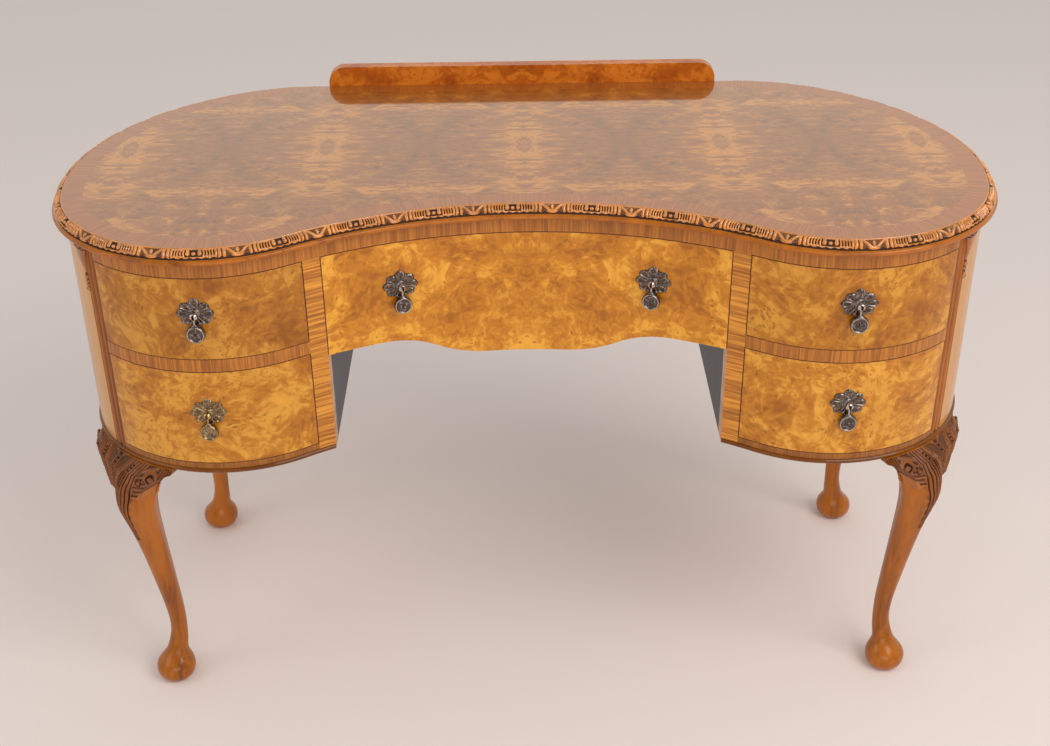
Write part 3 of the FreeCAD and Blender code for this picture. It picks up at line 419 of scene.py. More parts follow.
def carved_wood(finish, high, low):
    """The colour, depth and grain of carving that is warm where raised, with painted shade darkening the
    hollows.
    """
    place = finish.place()
    hollow = finish.stored("hollow")
    broad = finish.noise(place, 40.0, 3.0, 0.55)
    streak = finish.noise(finish.stretch(place, (1.0, 1.0, 0.3)), 300.0, 4.0, 0.65)
    raised = finish.ramp(broad * 0.5 + streak * 0.5, [(0.38, scaled_colour(high, 0.68)), (0.51, high),
                                                      (0.66, scaled_colour(high, 1.30))])
    # painted shade: the deeper the hollow, the more of the dark colour
    depth = (hollow + (streak - 0.5) * 0.20).step(0.22, 0.82)
    return finish.mix(depth, raised, low), depth, streak


def carved_finish(name, high, low):
    """Carved walnut: glossy where raised, dull in the hollows."""
    finish = Finish(name, Specular_IOR_Level=0.3, Coat_Roughness=0.06, Coat_IOR=1.8)
    wood, depth, streak = carved_wood(finish, high, low)
    finish.set("Coat Weight", 1.0 - depth * 0.85)
    return finish.done(wood, 0.32 + depth * 0.30, streak, 0.12, 0.0005)


def leg_finish(name):
    """Golden leg with a darker carved knee, blended by the piece's own mask."""
    look = bpy.context.scene.finish_settings
    finish = Finish(name, **POLISH)
    plain, grain = solid_wood(finish, look.solid_light, look.solid_dark, LONG_GRAIN)
    carved, depth, streak = carved_wood(finish, look.knee_high, look.knee_hollow_shade)
    mask = finish.stored("carved")
    finish.set("Coat Weight", POLISH["Coat_Weight"] - depth * mask * 0.30)
    return finish.done(finish.mix(mask.step(0.25, 0.75), plain, carved),
                       0.28 + grain * 0.12 + depth * mask * 0.25, grain * 0.5 + streak * 0.5, 0.10, 0.0004)


def plain_finish(name, colour, roughness=0.6, along=(1.0, 0.08, 1.0)):
    """Plain unpolished wood of the inner pieces."""
    finish = Finish(name)
    lines = finish.stretch(finish.bend(finish.place(), 4.0, 0.03), along)
    broad = finish.noise(lines, 30.0, 3.0, 0.5)
    streak = finish.noise(lines, 210.0, 5.0, 0.65)
    wood = finish.ramp(broad * 0.5 + streak * 0.5, [(0.34, scaled_colour(colour, 0.62)), (0.50, colour),
                                                    (0.68, scaled_colour(colour, 1.18))])
    return finish.done(wood, roughness - 0.1 + streak * 0.2, streak, 0.15, 0.0004)


def bronze_finish(name, dark, bright, worn_and_highlight=0.45):
    """Cast bronze gone brown-black, granular, brighter in patches and where the piece's mask says: partly
    wear, partly painted highlight.
    """
    finish = Finish(name, Metallic=1.0)
    place = finish.place()
    patches = finish.noise(place, 220.0, 4.0, 0.65, 0.4)
    grains = finish.noise(place, 1100.0, 3.0, 0.7)
    rubbed = finish.stored("rubbed")
    # the bright share: patches and the piece's mask, partly wear and partly painted highlight
    share = (patches * 0.6 + grains * 0.4).step(0.68 - 0.36 * worn_and_highlight, 0.84 - 0.28 * worn_and_highlight).at_least(rubbed)
    colour = finish.mix(share, dark, bright)
    pits = grains.step(0.50, 0.62) * (1.0 - rubbed) * 0.35
    return finish.done(finish.mix(pits, colour, scaled_colour(dark, 0.5)),
                       0.17 + patches * 0.24 - rubbed * 0.12, grains * 0.6 + patches * 0.4, 0.30, 0.0003)


def object_place(finish):
    """Object coordinates as they are."""
    return finish.place()


def book_matched(finish):
    """Object coordinates mirrored about the middle of the table, as book-matched veneers are."""
    x, y, z = finish.parts(finish.place())
    return finish.join(abs(x), y, z)


def along_edge(finish):
    """The piece's own map: along the edge, then across it."""
    return finish.add("UVMap", {"uv_map": "UVMap"}, output="UV")


def paint(piece, material):
    piece.data.materials.clear()
    piece.data.materials.append(material)


# Plan of the top
class Outline:
    """The kidney's edge, measured along itself from the middle of the front."""

    def __init__(self, plan):
        depth = plan.rim_projection + plan.top_depth + plan.board_thickness
        front = plan.rim_projection - depth / 2.0
        self.back = front + plan.top_depth
        hollow_front = front + plan.hollow_depth
        end_radius = plan.widest_from_back + plan.rear_overshoot
        end = Vector((plan.flat_width / 2.0 - end_radius, self.back - plan.widest_from_back))
        lobe_y = front + plan.lobe_radius
        lobe_x = end.x + math.sqrt((end_radius - plan.lobe_radius) ** 2 - (end.y - lobe_y) ** 2)
        lobe = Vector((lobe_x, lobe_y))
        rise = lobe_y - hollow_front
        hollow_radius = (lobe_x ** 2 + rise ** 2 - plan.lobe_radius ** 2) / (2.0 * plan.hollow_depth)
        hollow = Vector((0.0, hollow_front - hollow_radius))
        rear_y = self.back - plan.rear_radius
        rear_x = end.x + math.sqrt((end_radius - plan.rear_radius) ** 2 - (rear_y - end.y) ** 2)
        rear = Vector((rear_x, rear_y))
        self.lobe, self.end, self.lobe_radius, self.end_radius = lobe, end, plan.lobe_radius, end_radius
        self.rear_x = rear_x
        waist = math.atan2(lobe.y - hollow.y, lobe.x - hollow.x)
        shoulder = math.atan2(lobe.y - end.y, lobe.x - end.x)
        corner = math.atan2(rear.y - end.y, rear.x - end.x)
        self.arcs = [
            (hollow, hollow_radius, QUARTER_TURN, waist, -1.0),
            (lobe, plan.lobe_radius, waist - math.pi, shoulder, 1.0),
            (end, end_radius, shoulder, corner, 1.0),
            (rear, plan.rear_radius, corner, QUARTER_TURN, 1.0),
        ]
        self.lengths = [radius * abs(last - first) for _, radius, first, last, _ in self.arcs]
        self.half = sum(self.lengths)
        self.whole = self.half + rear_x

    def at(self, distance):
        """The point and the outward direction there."""
        side = -1.0 if distance < 0.0 else 1.0
        left = abs(distance)
        for (centre, radius, first, last, sense), length in zip(self.arcs, self.lengths):
            if left <= length:
                angle = first + (last - first) * left / length
                spoke = Vector((math.cos(angle), math.sin(angle)))
                point = centre + spoke * radius
                outward = spoke * sense
                return Vector((side * point.x, point.y)), Vector((side * outward.x, outward.y))
            left -= length
        return Vector((side * (self.rear_x - left), self.back)), Vector((0.0, 1.0))


# Modelling helpers
def select_only(piece):
    bpy.ops.object.select_all(action="DESELECT")
    piece.select_set(True)
    bpy.context.view_layer.objects.active = piece


def add_piece(name, primitive, location=(0.0, 0.0, 0.0), **options):
    """Adds a primitive, selected alone, and names it."""
    bpy.ops.object.select_all(action="DESELECT")
    primitive(location=location, **options)
    piece = bpy.context.object
    piece.name = name
    return piece


def settle(piece):
    """Applies the piece's place and turn to its points."""
    select_only(piece)
    bpy.ops.object.transform_apply(location=True, rotation=True, scale=True)
    return piece


def draped_grid(name, columns, rows, place, uv=None):
    """A grid primitive whose points are each moved to place(column share, row share)."""
    piece = add_piece(name, bpy.ops.mesh.primitive_grid_add, x_subdivisions=columns, y_subdivisions=rows,
                      size=1.0)
    mesh = piece.data
    flat = np.empty(len(mesh.vertices) * 3)
    mesh.vertices.foreach_get("co", flat)
    flat = flat.reshape(-1, 3)
    shares = clamped(flat[:, :2] + 0.5)
    mesh.vertices.foreach_set("co", place(shares[:, 0], shares[:, 1]).astype(np.float32).ravel())
    if uv:
        corners = np.empty(len(mesh.loops) * 2)
        layer = mesh.uv_layers.active.data
        layer.foreach_get("uv", corners)
        corners = corners.reshape(-1, 2)
        layer.foreach_set("uv", np.stack(uv(corners[:, 0], corners[:, 1]), 1).astype(np.float32).ravel())
    mesh.update()
    return piece


def grid_of_points(name, points, **attributes):
    """A grid primitive laid on an array of points, given as columns, rows and three coordinates."""
    columns, rows = points.shape[0] - 1, points.shape[1] - 1
    index = {}

    def place(u, v):
        index["at"] = (np.rint(u * columns).astype(int), np.rint(v * rows).astype(int))
        return points[index["at"]]

    piece = draped_grid(name, columns, rows, place)
    for word, values in attributes.items():
        store(piece, word, values[index["at"]])
    return piece


def close_up(piece, fill_holes=True):
    """Merges the points that meet, fills open ends and turns the faces outwards."""
    select_only(piece)
    bpy.ops.object.mode_set(mode="EDIT")
    bpy.ops.mesh.select_all(action="SELECT")
    bpy.ops.mesh.remove_doubles(threshold=0.000002)
    if fill_holes:
        bpy.ops.mesh.select_all(action="DESELECT")
        bpy.ops.mesh.select_mode(type="EDGE")
        bpy.ops.mesh.select_non_manifold(extend=False)
        bpy.ops.mesh.edge_face_add()
    bpy.ops.mesh.select_all(action="SELECT")
    bpy.ops.mesh.normals_make_consistent(inside=False)
    bpy.ops.object.mode_set(mode="OBJECT")
    return piece


def smooth(piece, degrees=35.0):
    select_only(piece)
    bpy.ops.object.shade_smooth_by_angle(angle=math.radians(degrees))
    return piece


def store(piece, name, values):
    """Keeps one value for each point, which the finish reads by that name."""
    attribute = piece.data.attributes.new(name, "FLOAT", "POINT")
    attribute.data.foreach_set("value", np.asarray(values, np.float32))


def copy_of(piece, name, turn):
    """A copy with its own mesh, moved or mirrored by a matrix."""
    twin = piece.copy()
    twin.data = piece.data.copy()
    twin.name = name
    bpy.context.collection.objects.link(twin)
    twin.data.transform(turn)
    if turn.determinant() < 0.0:
        twin.data.flip_normals()
    return twin


def join(pieces, name):
    bpy.ops.object.select_all(action="DESELECT")
    for piece in pieces:
        piece.select_set(True)
    bpy.context.view_layer.objects.active = pieces[0]
    bpy.ops.object.join()
    pieces[0].name = name
    return pieces[0]


def cut(piece, cutter):
    """Takes the cutter's space out of the piece."""
    select_only(piece)
    modifier = piece.modifiers.new("cut", "BOOLEAN")
    modifier.object = cutter
    modifier.solver = "EXACT"
    bpy.ops.object.modifier_apply(modifier=modifier.name)
    bpy.data.objects.remove(cutter, do_unlink=True)
    return piece


def turned(name, profile, columns):
    """A lathe-turned piece about the Y axis: the profile is (radius, y)."""
    angles = np.linspace(0.0, 2.0 * math.pi, columns + 1)[:, None]
    radius, level = np.asarray(profile).T
    points = np.stack(np.broadcast_arrays(radius * np.cos(angles), level, radius * np.sin(angles)), -1)
    return smooth(close_up(grid_of_points(name, points), fill_holes=False), 40.0)


def dress(piece, material, body, slot, *nodes):
    """Gives a finished piece its material and its body, and hides the nodes that it stands for; the slot is
    not used.
    """
    paint(piece, material)
    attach(piece, body)
    if nodes:
        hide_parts(*nodes)
    return piece


def edge_frame(outline, distances):
    """Points and outward directions along the edge, as arrays."""
    rows = np.array([[tuple(vector) for vector in outline.at(float(d))] for d in distances])
    return rows[:, 0], rows[:, 1]


def clamped(values):
    """The values, kept from nought to one."""
    return np.clip(values, 0.0, 1.0)


def window(values, low, high, soft):
    """One between low and high, falling to nought over soft inside each end."""
    return clamped((values - low) / soft) * clamped((high - values) / soft)


def dome(distance):
    """A round swelling: one in the middle, nought at a distance of one."""
    return np.sqrt(clamped(1.0 - distance ** 2))


def bell(distance, width):
    """A soft swelling: one in the middle, and a third of that at a distance of one width."""
    return np.exp(-(distance / width) ** 2)


def wave(distance, period):
    return np.cos(2.0 * np.pi * distance / period)


def from_repeat(distance, period):
    """The way from the nearest repeat."""
    return distance - period * np.round(distance / period)


def closed(rows):
    """Rows that go all round, with the first again at the end."""
    return np.concatenate([rows, rows[:1]])


def smooth_curve(places, values):
    """A natural cubic curve through the values, as a function of arrays."""
    x, y = np.asarray(places, float), np.asarray(values, float)
    gaps, count = np.diff(x), len(x)
    system, right = np.eye(count), np.zeros(count)
    for i in range(1, count - 1):
        system[i, i - 1:i + 2] = gaps[i - 1], 2.0 * (gaps[i - 1] + gaps[i]), gaps[i]
        right[i] = 6.0 * ((y[i + 1] - y[i]) / gaps[i] - (y[i] - y[i - 1]) / gaps[i - 1])
    bend = np.linalg.solve(system, right)

    def curve(at):
        at = np.asarray(at, float)
        i = np.clip(np.searchsorted(x, at) - 1, 0, count - 2)
        a, b, g = x[i + 1] - at, at - x[i], gaps[i]
        return (bend[i] * a ** 3 + bend[i + 1] * b ** 3) / (6.0 * g) + (
            (y[i] / g - bend[i] * g / 6.0) * a + (y[i + 1] / g - bend[i + 1] * g / 6.0) * b)

    return curve


# Carving, in millimetres: the eye's field and the rolls by their distance from the eye, the ear's pearls by
# place, drop and size, and a distance that is never reached
EYE_FIELD, ROLLS, FAR = 10.8, (31.0, 36.3), 99.0
EAR_PEARLS = ((49.0, 26.0, 3.6), (58.0, 21.0, 3.0))


def rim_relief(along, across, repeat):
    """Height of the edge carving over its ground, from nought to one: eyes between cheeks, ribbed leaves,
    rolls, and a V-shaped leaf where two repeats meet. Distances are in millimetres."""
    d = np.abs(from_repeat(along, repeat))
    v = across
    rho = np.hypot(d, v + 0.5)
    lip = 6.5 + 0.8 * wave(d, 9.4)
    inside = window(v, -8.1, FAR, 0.7) * clamped((lip - v) / 0.8)
    # the ribbed leaf round the eye, and two rolls beyond it
    leaf = inside * window(rho, EYE_FIELD, 28.6, 0.8)
    veins = sum(bell(rho - g, 0.80) for g in (14.2, 17.6, 21.0, 24.4))
    leaf = leaf * (1.0 - 0.95 * clamped(veins) * window(v, -7.0, 3.4, 1.2))
    height = leaf * (0.92 + 0.08 * wave(rho - 15.9, 3.4))
    for centre in ROLLS:
        height = np.maximum(height, inside * dome((rho - centre) / 2.45))
    # the slanting arm of the V, the bud in its mouth, and the dotted ground behind
    run, fall = 12.0, 13.5
    length = math.hypot(run, fall)
    share = clamped(((d - 38.5) * run + (v + 7.5) * fall) / length ** 2)
    arm = np.hypot(d - 38.5 - run * share, v + 7.5 - fall * share)
    height = np.maximum(height, inside * dome(arm / 2.2) * 0.95)
    height = np.maximum(height, inside * dome(np.hypot((d - 52.0) / 2.3, (v + 2.5) / 5.2)))
    height = np.maximum(height, dome(np.hypot((d - 52.0) / 8.0, (v - 4.9) / 3.3)) * 0.95)
    ground = inside * clamped((d - 37.0) / 2.0) * (0.34 + 0.22 * wave(d + v, 3.2))
    height = np.maximum(height, ground)
    # the eye with its two cheeks, the bridge over them and the lip under them
    near = d < EYE_FIELD
    low_lip = inside * window(v, 3.4, FAR, 0.9) * window(d, -1.0, 12.0, 0.8) * 0.9
    height = np.where(near, low_lip, height)
    cheek = dome(np.hypot((d - 7.2) / 3.3, (v + 0.8) / 4.1))
    bridge = window(v, -8.1, -3.0, 0.8) * window(d, 4.6, 9.8, 0.8) * 0.9
    height = np.maximum(height, np.where(near, np.maximum(cheek, bridge), 0.0))
    height = np.where(rho < 4.6, dome(rho / 3.1), height)
    return np.maximum(height, clamped((-8.0 - v) / 0.4) * 0.95)


def leaf_line(a, t):
    """Which of the knee leaf's curving ribs runs through a place, by where that rib starts at the top."""
    low, high = np.full_like(a, 15.2), np.full_like(a, 260.0)
    for _ in range(26):
        middle = (low + high) / 2.0
        beyond = middle * np.exp(-t / (1.7 * middle - 25.0)) > a
        high = np.where(beyond, middle, high)
        low = np.where(beyond, low, middle)
    return (low + high) / 2.0


def knee_relief(offset, t):
    """Height of the knee carving and where it is: an acanthus leaf with a beaded midrib, and on each side an
    eye, pearls and a fluted tip. The offset is from the midrib and t is the drop, in millimetres."""
    a = np.abs(offset)
    t = np.maximum(t, 0.0)
    q = leaf_line(a, t)
    # the leaf's ribs, with a smooth field and a row of pearls between them
    rib_step = 5.6
    ribs = 1.0 - 0.85 * bell(from_repeat(q - 29.0, rib_step), 0.85)
    height = ribs * (0.92 + 0.08 * wave(q - 29.0, rib_step / 3.0))
    smooth_field = window(q, 17.0, 27.5, 1.5) * clamped((64.0 - t) / 12.0)
    height = height * (1.0 - smooth_field) + 0.45 * smooth_field
    height = np.maximum(height, bell(q - 29.2, 1.1))
    band = window(q, 36.5, 43.0, 0.9) * window(t, 2.0, 46.0, 4.0)
    pearls = dome(np.hypot((q - 39.8) / 2.3, from_repeat(t - 0.45 * a, 4.3) / 1.9)) * 0.95
    height = height * (1.0 - band) + band * pearls
    # the midrib: a beaded channel above, a plain rib below
    upper = clamped((66.0 - t) / 10.0)
    channel = window(a, -1.0, 6.2, 0.8) * upper
    beads = dome(np.hypot(a / 1.9, from_repeat(t, 4.2) / 1.9)) * 0.9
    walls = bell(a - 4.4, 1.0)
    height = height * (1.0 - channel) + channel * np.maximum(beads, walls)
    height = height * (1.0 - 0.9 * (1.0 - upper) * bell(a - 2.3, 0.7))
    # where the carving ends: the leaf's scalloped edge, and the lower edge of the ear
    edge_q = 61.0 + 1.6 * wave(t, 15.0)
    ear_low = np.interp(a, [0.0, 40.6, 50.0, 62.0, 75.0, 104.0], [60.0, 52.0, 42.0, 38.0, 33.0, 8.0])
    leaf_gap = (edge_q - q) * np.exp(-t / 77.0)
    ear_gap = (ear_low - t) * 0.8
    gap = np.maximum(leaf_gap, ear_gap)
    gap = np.minimum(gap, (141.0 - t) * 0.4)
    # the ear: fluted, with an eye in its ring and two pearls
    ear = (leaf_gap < 0.0) & (ear_gap > 0.0)
    flutes = np.where(a > 80.0, 0.62 + 0.38 * wave(a + 0.35 * (t - 14.0), 4.4),
                      0.55 + 0.25 * wave(t + 0.25 * a, 7.0))
    height = np.where(ear, flutes, height)
    eye = np.hypot(a - 71.0, t - 15.5)
    height = np.where(ear & (eye < 12.5), 0.88, height)
    height = np.where(eye < 7.8, 0.0, height)
    height = np.maximum(height, dome(eye / 6.0) * 0.95)
    for place, drop, size in EAR_PEARLS:
        pearl = np.hypot(a - place, t - drop)
        height = np.where(pearl < size * 1.3, dome(pearl / size), height)
    mask = clamped(gap / 0.9)
    groove = bell(gap + 0.7, 0.8) * (gap < 0.6) * 0.25
    return height, mask, groove


# Legs: heights as shares of the leg, sizes as shares of the pad or of the way from ankle to knee, and sways
# as shares of the settings' sway. The ears' figures are millimetres.
FOOT_HEIGHTS = (0.0, 0.010, 0.026, 0.048, 0.067, 0.086, 0.108)
FOOT_SIZES = (0.62, 0.80, 0.95, 1.0, 0.95, 0.80, 0.60)
FOOT_SWAYS = (0.0, 0.0, 0.0, 0.0, -0.03, -0.10, -0.22)
SHAFT_HEIGHTS = (0.140, 0.185, 0.255, 0.364, 0.495, 0.614, 0.718, 0.827, 0.900, 0.960, 1.0)
SHAFT_SIZES = (0.10, 0.0, 0.0, 0.09, 0.22, 0.36, 0.54, 0.85, 0.98, 0.96, 0.90)
SHAFT_SWAYS = (-0.40, -0.56, -0.60, -0.45, -0.20, 0.05, 0.30, 0.445, 0.22, 0.02, -0.18)
SHAFT_CORNERS = (1.0, 1.0, 1.02, 1.05, 1.08, 1.10, 1.13, 1.16, 1.18, 1.18, 1.18)
EAR_ROOT, EAR_ROOT_OUT, EAR_TIP_OUT, EAR_SWELL, EAR_BACK, EAR_NOSE = 8.0, 20.5, 13.0, 2.0, 12.0, 5.0
SHOULDER_START, SHOULDER_SLOPE = 2.0, 0.75
FRONT_LEG_DEGREES, FRONT_FOOT_TURN, REAR_LEG_DEGREES = -49.0, -2.0, 39.3
KNEE_FROM, WING_STEP, WING_LIMIT = 239.0, 0.25, 125.0
MIDRIB_DROPS, MIDRIB_DEGREES, MM_PER_DEGREE = (0.0, 40.0, 60.0, 140.0), (-45.0, -45.0, -46.3, -48.5), 3.87


class LegShape:
    """One right-hand leg with its two ears, in millimetres about the axis of the outline's arc."""

    def __init__(self, legs, axis, radius, degrees, foot_turn, inset, sway, inner_reach, outer_reach):
        self.axis, self.radius = np.array(tuple(axis)) / MM, radius / MM
        self.angle, self.foot_turn = math.radians(degrees), math.radians(foot_turn)
        self.inset, self.sway, self.height = inset / MM, sway / MM, legs.height / MM
        self.reaches = (inner_reach / MM, outer_reach / MM)
        self.ear_drop = legs.ear_drop / MM
        ankle, knee, pad = legs.ankle_radius / MM, legs.knee_half_width / MM, legs.pad_radius / MM
        heights = FOOT_HEIGHTS + SHAFT_HEIGHTS
        sizes = [pad * s for s in FOOT_SIZES] + [ankle + (knee - ankle) * s for s in SHAFT_SIZES]
        self.size = smooth_curve(heights, sizes)
        self.lean = smooth_curve(heights, FOOT_SWAYS + SHAFT_SWAYS)
        self.corner = smooth_curve(heights, (1.0,) * len(FOOT_HEIGHTS) + SHAFT_CORNERS)

    def centre(self, z):
        """The leg's middle at heights z."""
        share = z / self.height
        turn = self.angle + self.foot_turn * (1.0 - share) ** 2
        out = self.radius - self.inset + self.sway * self.lean(share)
        return self.axis + np.stack([np.cos(turn), np.sin(turn)], -1) * out[..., None]

    def section(self, z, bearing):
        """Radius of the leg's section at heights z and bearings from its outward corner."""
        share = z / self.height
        swell = (self.corner(share) - 1.0) * (0.5 + 0.5 * np.cos(4.0 * bearing))
        return self.size(share) * (1.0 + swell)

    def ear_limit(self, drop, reach):
        """How far along an ear of that reach its lower edge lets it go at a drop."""
        end = (self.radius + EAR_TIP_OUT) * math.sin(reach / self.radius)
        low = (self.radius + EAR_TIP_OUT) * math.sin(self.reaches[0] / self.radius) * 0.42
        a, b, c = (np.array(p) for p in ((end, EAR_NOSE), (low + (end - low) * 0.38, self.ear_drop * 0.40),
                                         (low, self.ear_drop)))
        system = np.array([b - a, c - a]) * 2.0
        middle = np.linalg.solve(system, [b @ b - a @ a, c @ c - a @ a])
        size = np.linalg.norm(a - middle)
        inside = np.clip(size ** 2 - (drop - middle[1]) ** 2, 0.0, None)
        limit = middle[0] - np.sqrt(inside)
        return np.where(drop < EAR_NOSE, end, np.where(drop > self.ear_drop, -1.0, limit))

    def wing(self, z, bearings):
        """Reach of the ears from the leg's middle, for each bearing at one height."""
        drop = self.height - z
        if drop > self.ear_drop:
            return np.zeros_like(bearings)
        middle = self.centre(np.array([z]))[0] - self.axis
        r = np.arange(0.0, WING_LIMIT, WING_STEP)[None, :]
        turn = self.angle + bearings[:, None]
        x, y = middle[0] + r * np.cos(turn), middle[1] + r * np.sin(turn)
        # each place by its radius and turn about the outline's axis, then the ear's front and limit there
        rho = np.hypot(x, y)
        psi = np.arctan2(y, x) - self.angle
        side = (psi > 0.0).astype(int)
        reach = np.array(self.reaches)[side]
        along = np.abs(psi) * self.radius
        share = clamped((along - EAR_ROOT) / (reach - EAR_ROOT))
        drift = (EAR_ROOT_OUT + EAR_TIP_OUT) / 2.0 + EAR_SWELL
        front = self.radius + EAR_ROOT_OUT * (1.0 - share) * (1.0 - 2.0 * share) + (
            4.0 * drift * share * (1.0 - share)) - EAR_TIP_OUT * share * (1.0 - 2.0 * share)
        limits = np.array([float(self.ear_limit(np.array(drop), length)) for length in self.reaches])[side]
        across = rho * np.sin(np.abs(psi))
        # room is how deep inside the ear a place is, and the reach ends where it turns to nought
        room = np.minimum(np.minimum(front - rho, rho - self.radius + EAR_BACK),
                          np.minimum(limits - across, reach - along))
        inside = room > 0.0
        last = np.where(inside.any(1), inside.shape[1] - 1 - np.argmax(inside[:, ::-1], 1), 0)
        index = np.arange(len(bearings))
        after = np.minimum(last + 1, inside.shape[1] - 1)
        here, there = room[index, last], room[index, after]
        part = np.where(here > there, here / np.maximum(here - there, 1e-6), 0.0)
        return np.where(inside.any(1), (last + clamped(part)) * WING_STEP, 0.0)

    def surface(self, bearings, z):
        """Points of one height's section with its ears, blended softly where they meet."""
        leg = self.section(np.full_like(bearings, z), bearings)
        wing = self.wing(z, bearings)
        hard = 0.6
        top = np.maximum(leg, wing)
        reach = top + np.log(np.exp(hard * (leg - top)) + np.exp(hard * (wing - top))) / hard
        reach = np.where(wing > 0.0, reach, leg)
        middle = self.centre(np.array([z]))[0]
        turn = self.angle + bearings
        flat = middle + np.stack([np.cos(turn), np.sin(turn)], -1) * reach[:, None]
        return np.column_stack([flat, np.full(len(bearings), z)])

    def shoulder(self, flat):
        """The highest that the knee may be at places in plan."""
        rho = np.hypot(*(flat - self.axis).T)
        return self.height - SHOULDER_SLOPE * np.clip(rho - self.radius - SHOULDER_START, 0.0, None)

    def points(self, bearings, knee_height, step, coarse):
        """The whole leg's skin, from the middle of its sole up and in to the middle of its top, with the
        first row of the knee and how many rows the knee has."""
        low = [self.surface(bearings, z) for z in np.arange(0.0, knee_height, coarse)]
        sole = np.repeat(low[0].mean(0)[None, :], len(bearings), 0)
        levels = np.append(np.arange(knee_height, self.height, 0.5), self.height)
        tall = np.stack([self.surface(bearings, z) for z in levels], 1)
        crown = np.append(self.centre(np.array([self.height]))[0], self.height)
        rows = int((self.height - knee_height + 16.0) / step)
        knee = np.empty((len(bearings), rows, 3))
        for i, line in enumerate(tall):
            # up the side to the sloping shoulder, in over it to the full height, then shared out evenly
            keep = line[:, 2] <= self.shoulder(line[:, :2]) + 1e-6
            last = len(line) if keep.all() else int(np.argmax(~keep))
            body = line[:last]
            inward = body[-1, :2] + (crown[:2] - body[-1, :2]) * np.linspace(0.0, 1.0, 80)[:, None]
            roof = np.column_stack([inward, self.shoulder(inward)])
            roof = roof[: int(np.argmax(roof[:, 2] >= self.height - 1e-6)) + 1]
            whole = np.concatenate([body, roof[1:]]) if last < len(line) else body
            lengths = np.append(0.0, np.cumsum(np.linalg.norm(np.diff(whole, axis=0), axis=1)))
            even = np.linspace(0.0, lengths[-1], rows)
            knee[i] = np.stack([np.interp(even, lengths, whole[:, k]) for k in range(3)], -1)
        cap = np.stack([knee[:, -1] + (crown - knee[:, -1]) * share for share in (0.5, 1.0)], 1)
        cap[:, :, 2] = self.height
        return np.concatenate([sole[:, None], np.stack(low, 1), knee, cap], 1), 1 + len(low), rows


def skin_normals(points):
    """Directions square to a closed skin of points, for moving it in and out."""
    around = np.roll(points, -1, 0) - np.roll(points, 1, 0)
    normal = np.cross(around, np.gradient(points, axis=1))
    return normal / np.maximum(np.linalg.norm(normal, axis=-1, keepdims=True), 1e-9)


# Where the edges of the drawer fronts are
SIDE_FRONTS_X, UPPER_FRONTS_Z, LOWER_FRONTS_Z = (0.2865, 0.5535), (0.5795, 0.6965), (0.4195, 0.5605)
CENTRE_FRONT_X, CENTRE_FRONT_Z = (-0.2645, 0.2645), (0.40, 0.6965)


# Operators, one for each group of pieces
class DRESSINGTABLE_OT_finishes(bpy.types.Operator):
    """Gives every piece of the frame its wood or metal"""
    bl_idname = "dressing_table.finishes"
    bl_label = "Veneers and finishes"

    def execute(self, context):
        look = context.scene.finish_settings
        upright, level = (1.0, 1.0, 0.030), (0.030, 0.030, 1.0)
        frieze = band_finish("crossband_frieze", object_place, upright, look.band_light, look.band_dark,
                             POLISH, 1.0, 0.62)
        base = band_finish("crossband_base", object_place, upright, scaled_colour(look.band_light, 0.68),
                           scaled_colour(look.band_dark, 0.85), POLISH, 1.0, 0.62)
        stile = band_finish("fiddleback_stile", object_place, level, look.stile_light, look.stile_dark,
                            POLISH, 0.85, 0.80)
        board = drawer_finish("burr_board", book_matched, None, (0.88, 0.52, 0.30), 3.1)
        top = top_finish("burr_top")
        panel = solid_finish("panel_walnut", (1.0, 1.0, 0.06), 1.0, look.panel_light, look.burr_middle)
        leg = solid_finish("leg_walnut")
        post = solid_finish("post_walnut", (1.0, 1.0, 0.10), 0.9)
        dark_bead = solid_finish("bead_dark", (0.3, 0.3, 1.0), 0.45)
        carved = carved_finish("carved_plain", look.knee_high, look.knee_hollow_shade)
        inner = plain_finish("inner_wood", look.inner)
        stained = plain_finish("stained_wood", look.stained, 0.5, (1.0, 1.0, 0.08))
        bronze = bronze_finish("aged_bronze", look.bronze_dark, look.bronze_worn_and_highlight)
        steel = bronze_finish("screw_steel", look.bronze_worn_and_highlight, scaled_colour(look.bronze_worn_and_highlight, 1.4), 0.9)
        upper = edge_lines(*SIDE_FRONTS_X, *UPPER_FRONTS_Z)
        lower = edge_lines(*SIDE_FRONTS_X, *LOWER_FRONTS_Z)
        centre = edge_lines(*CENTRE_FRONT_X, *CENTRE_FRONT_Z)
        exact = {
            "frieze_rail": frieze, "divider_rails": frieze, "base_rails": base, "stiles": stile,
            "upstand_board": board, "corner_posts": post, "base_beads": dark_bead, "carved_drops": carved,
            "knee_ears": carved, "carved_edge_moulding": carved, "top_board": top, "kneehole_sides": stained,
            "back_panels": stained, "centre_back_rail": stained, "upstand_screws": steel,
        }
        fronts = (
            ("upper_left", object_place, upper, (0.80, 0.78, 0.78), 1.3),
            ("upper_right", object_place, upper, (0.88, 0.86, 0.80), 2.2),
            ("lower_left", object_place, lower, (0.92, 0.91, 0.88), 5.4),
            ("lower_right", object_place, lower, (1.0, 1.0, 1.0), 7.7),
            ("centre", book_matched, centre, (1.08, 1.08, 0.95), 9.9),
        )
        for word, *choices in fronts:
            exact[word + "_drawer_front"] = drawer_finish("burr_" + word, *choices)
        for name, node in NODES.items():
            if name in exact:
                finish = exact[name]
            elif name.startswith("end_panel"):
                finish = panel
            elif "_leg_" in name:
                finish = leg
            elif "drop_pull" in name or name.endswith(("_rose", "_roses")):
                finish = bronze
            else:
                finish = inner
            paint(node, finish)
        return {"FINISHED"}


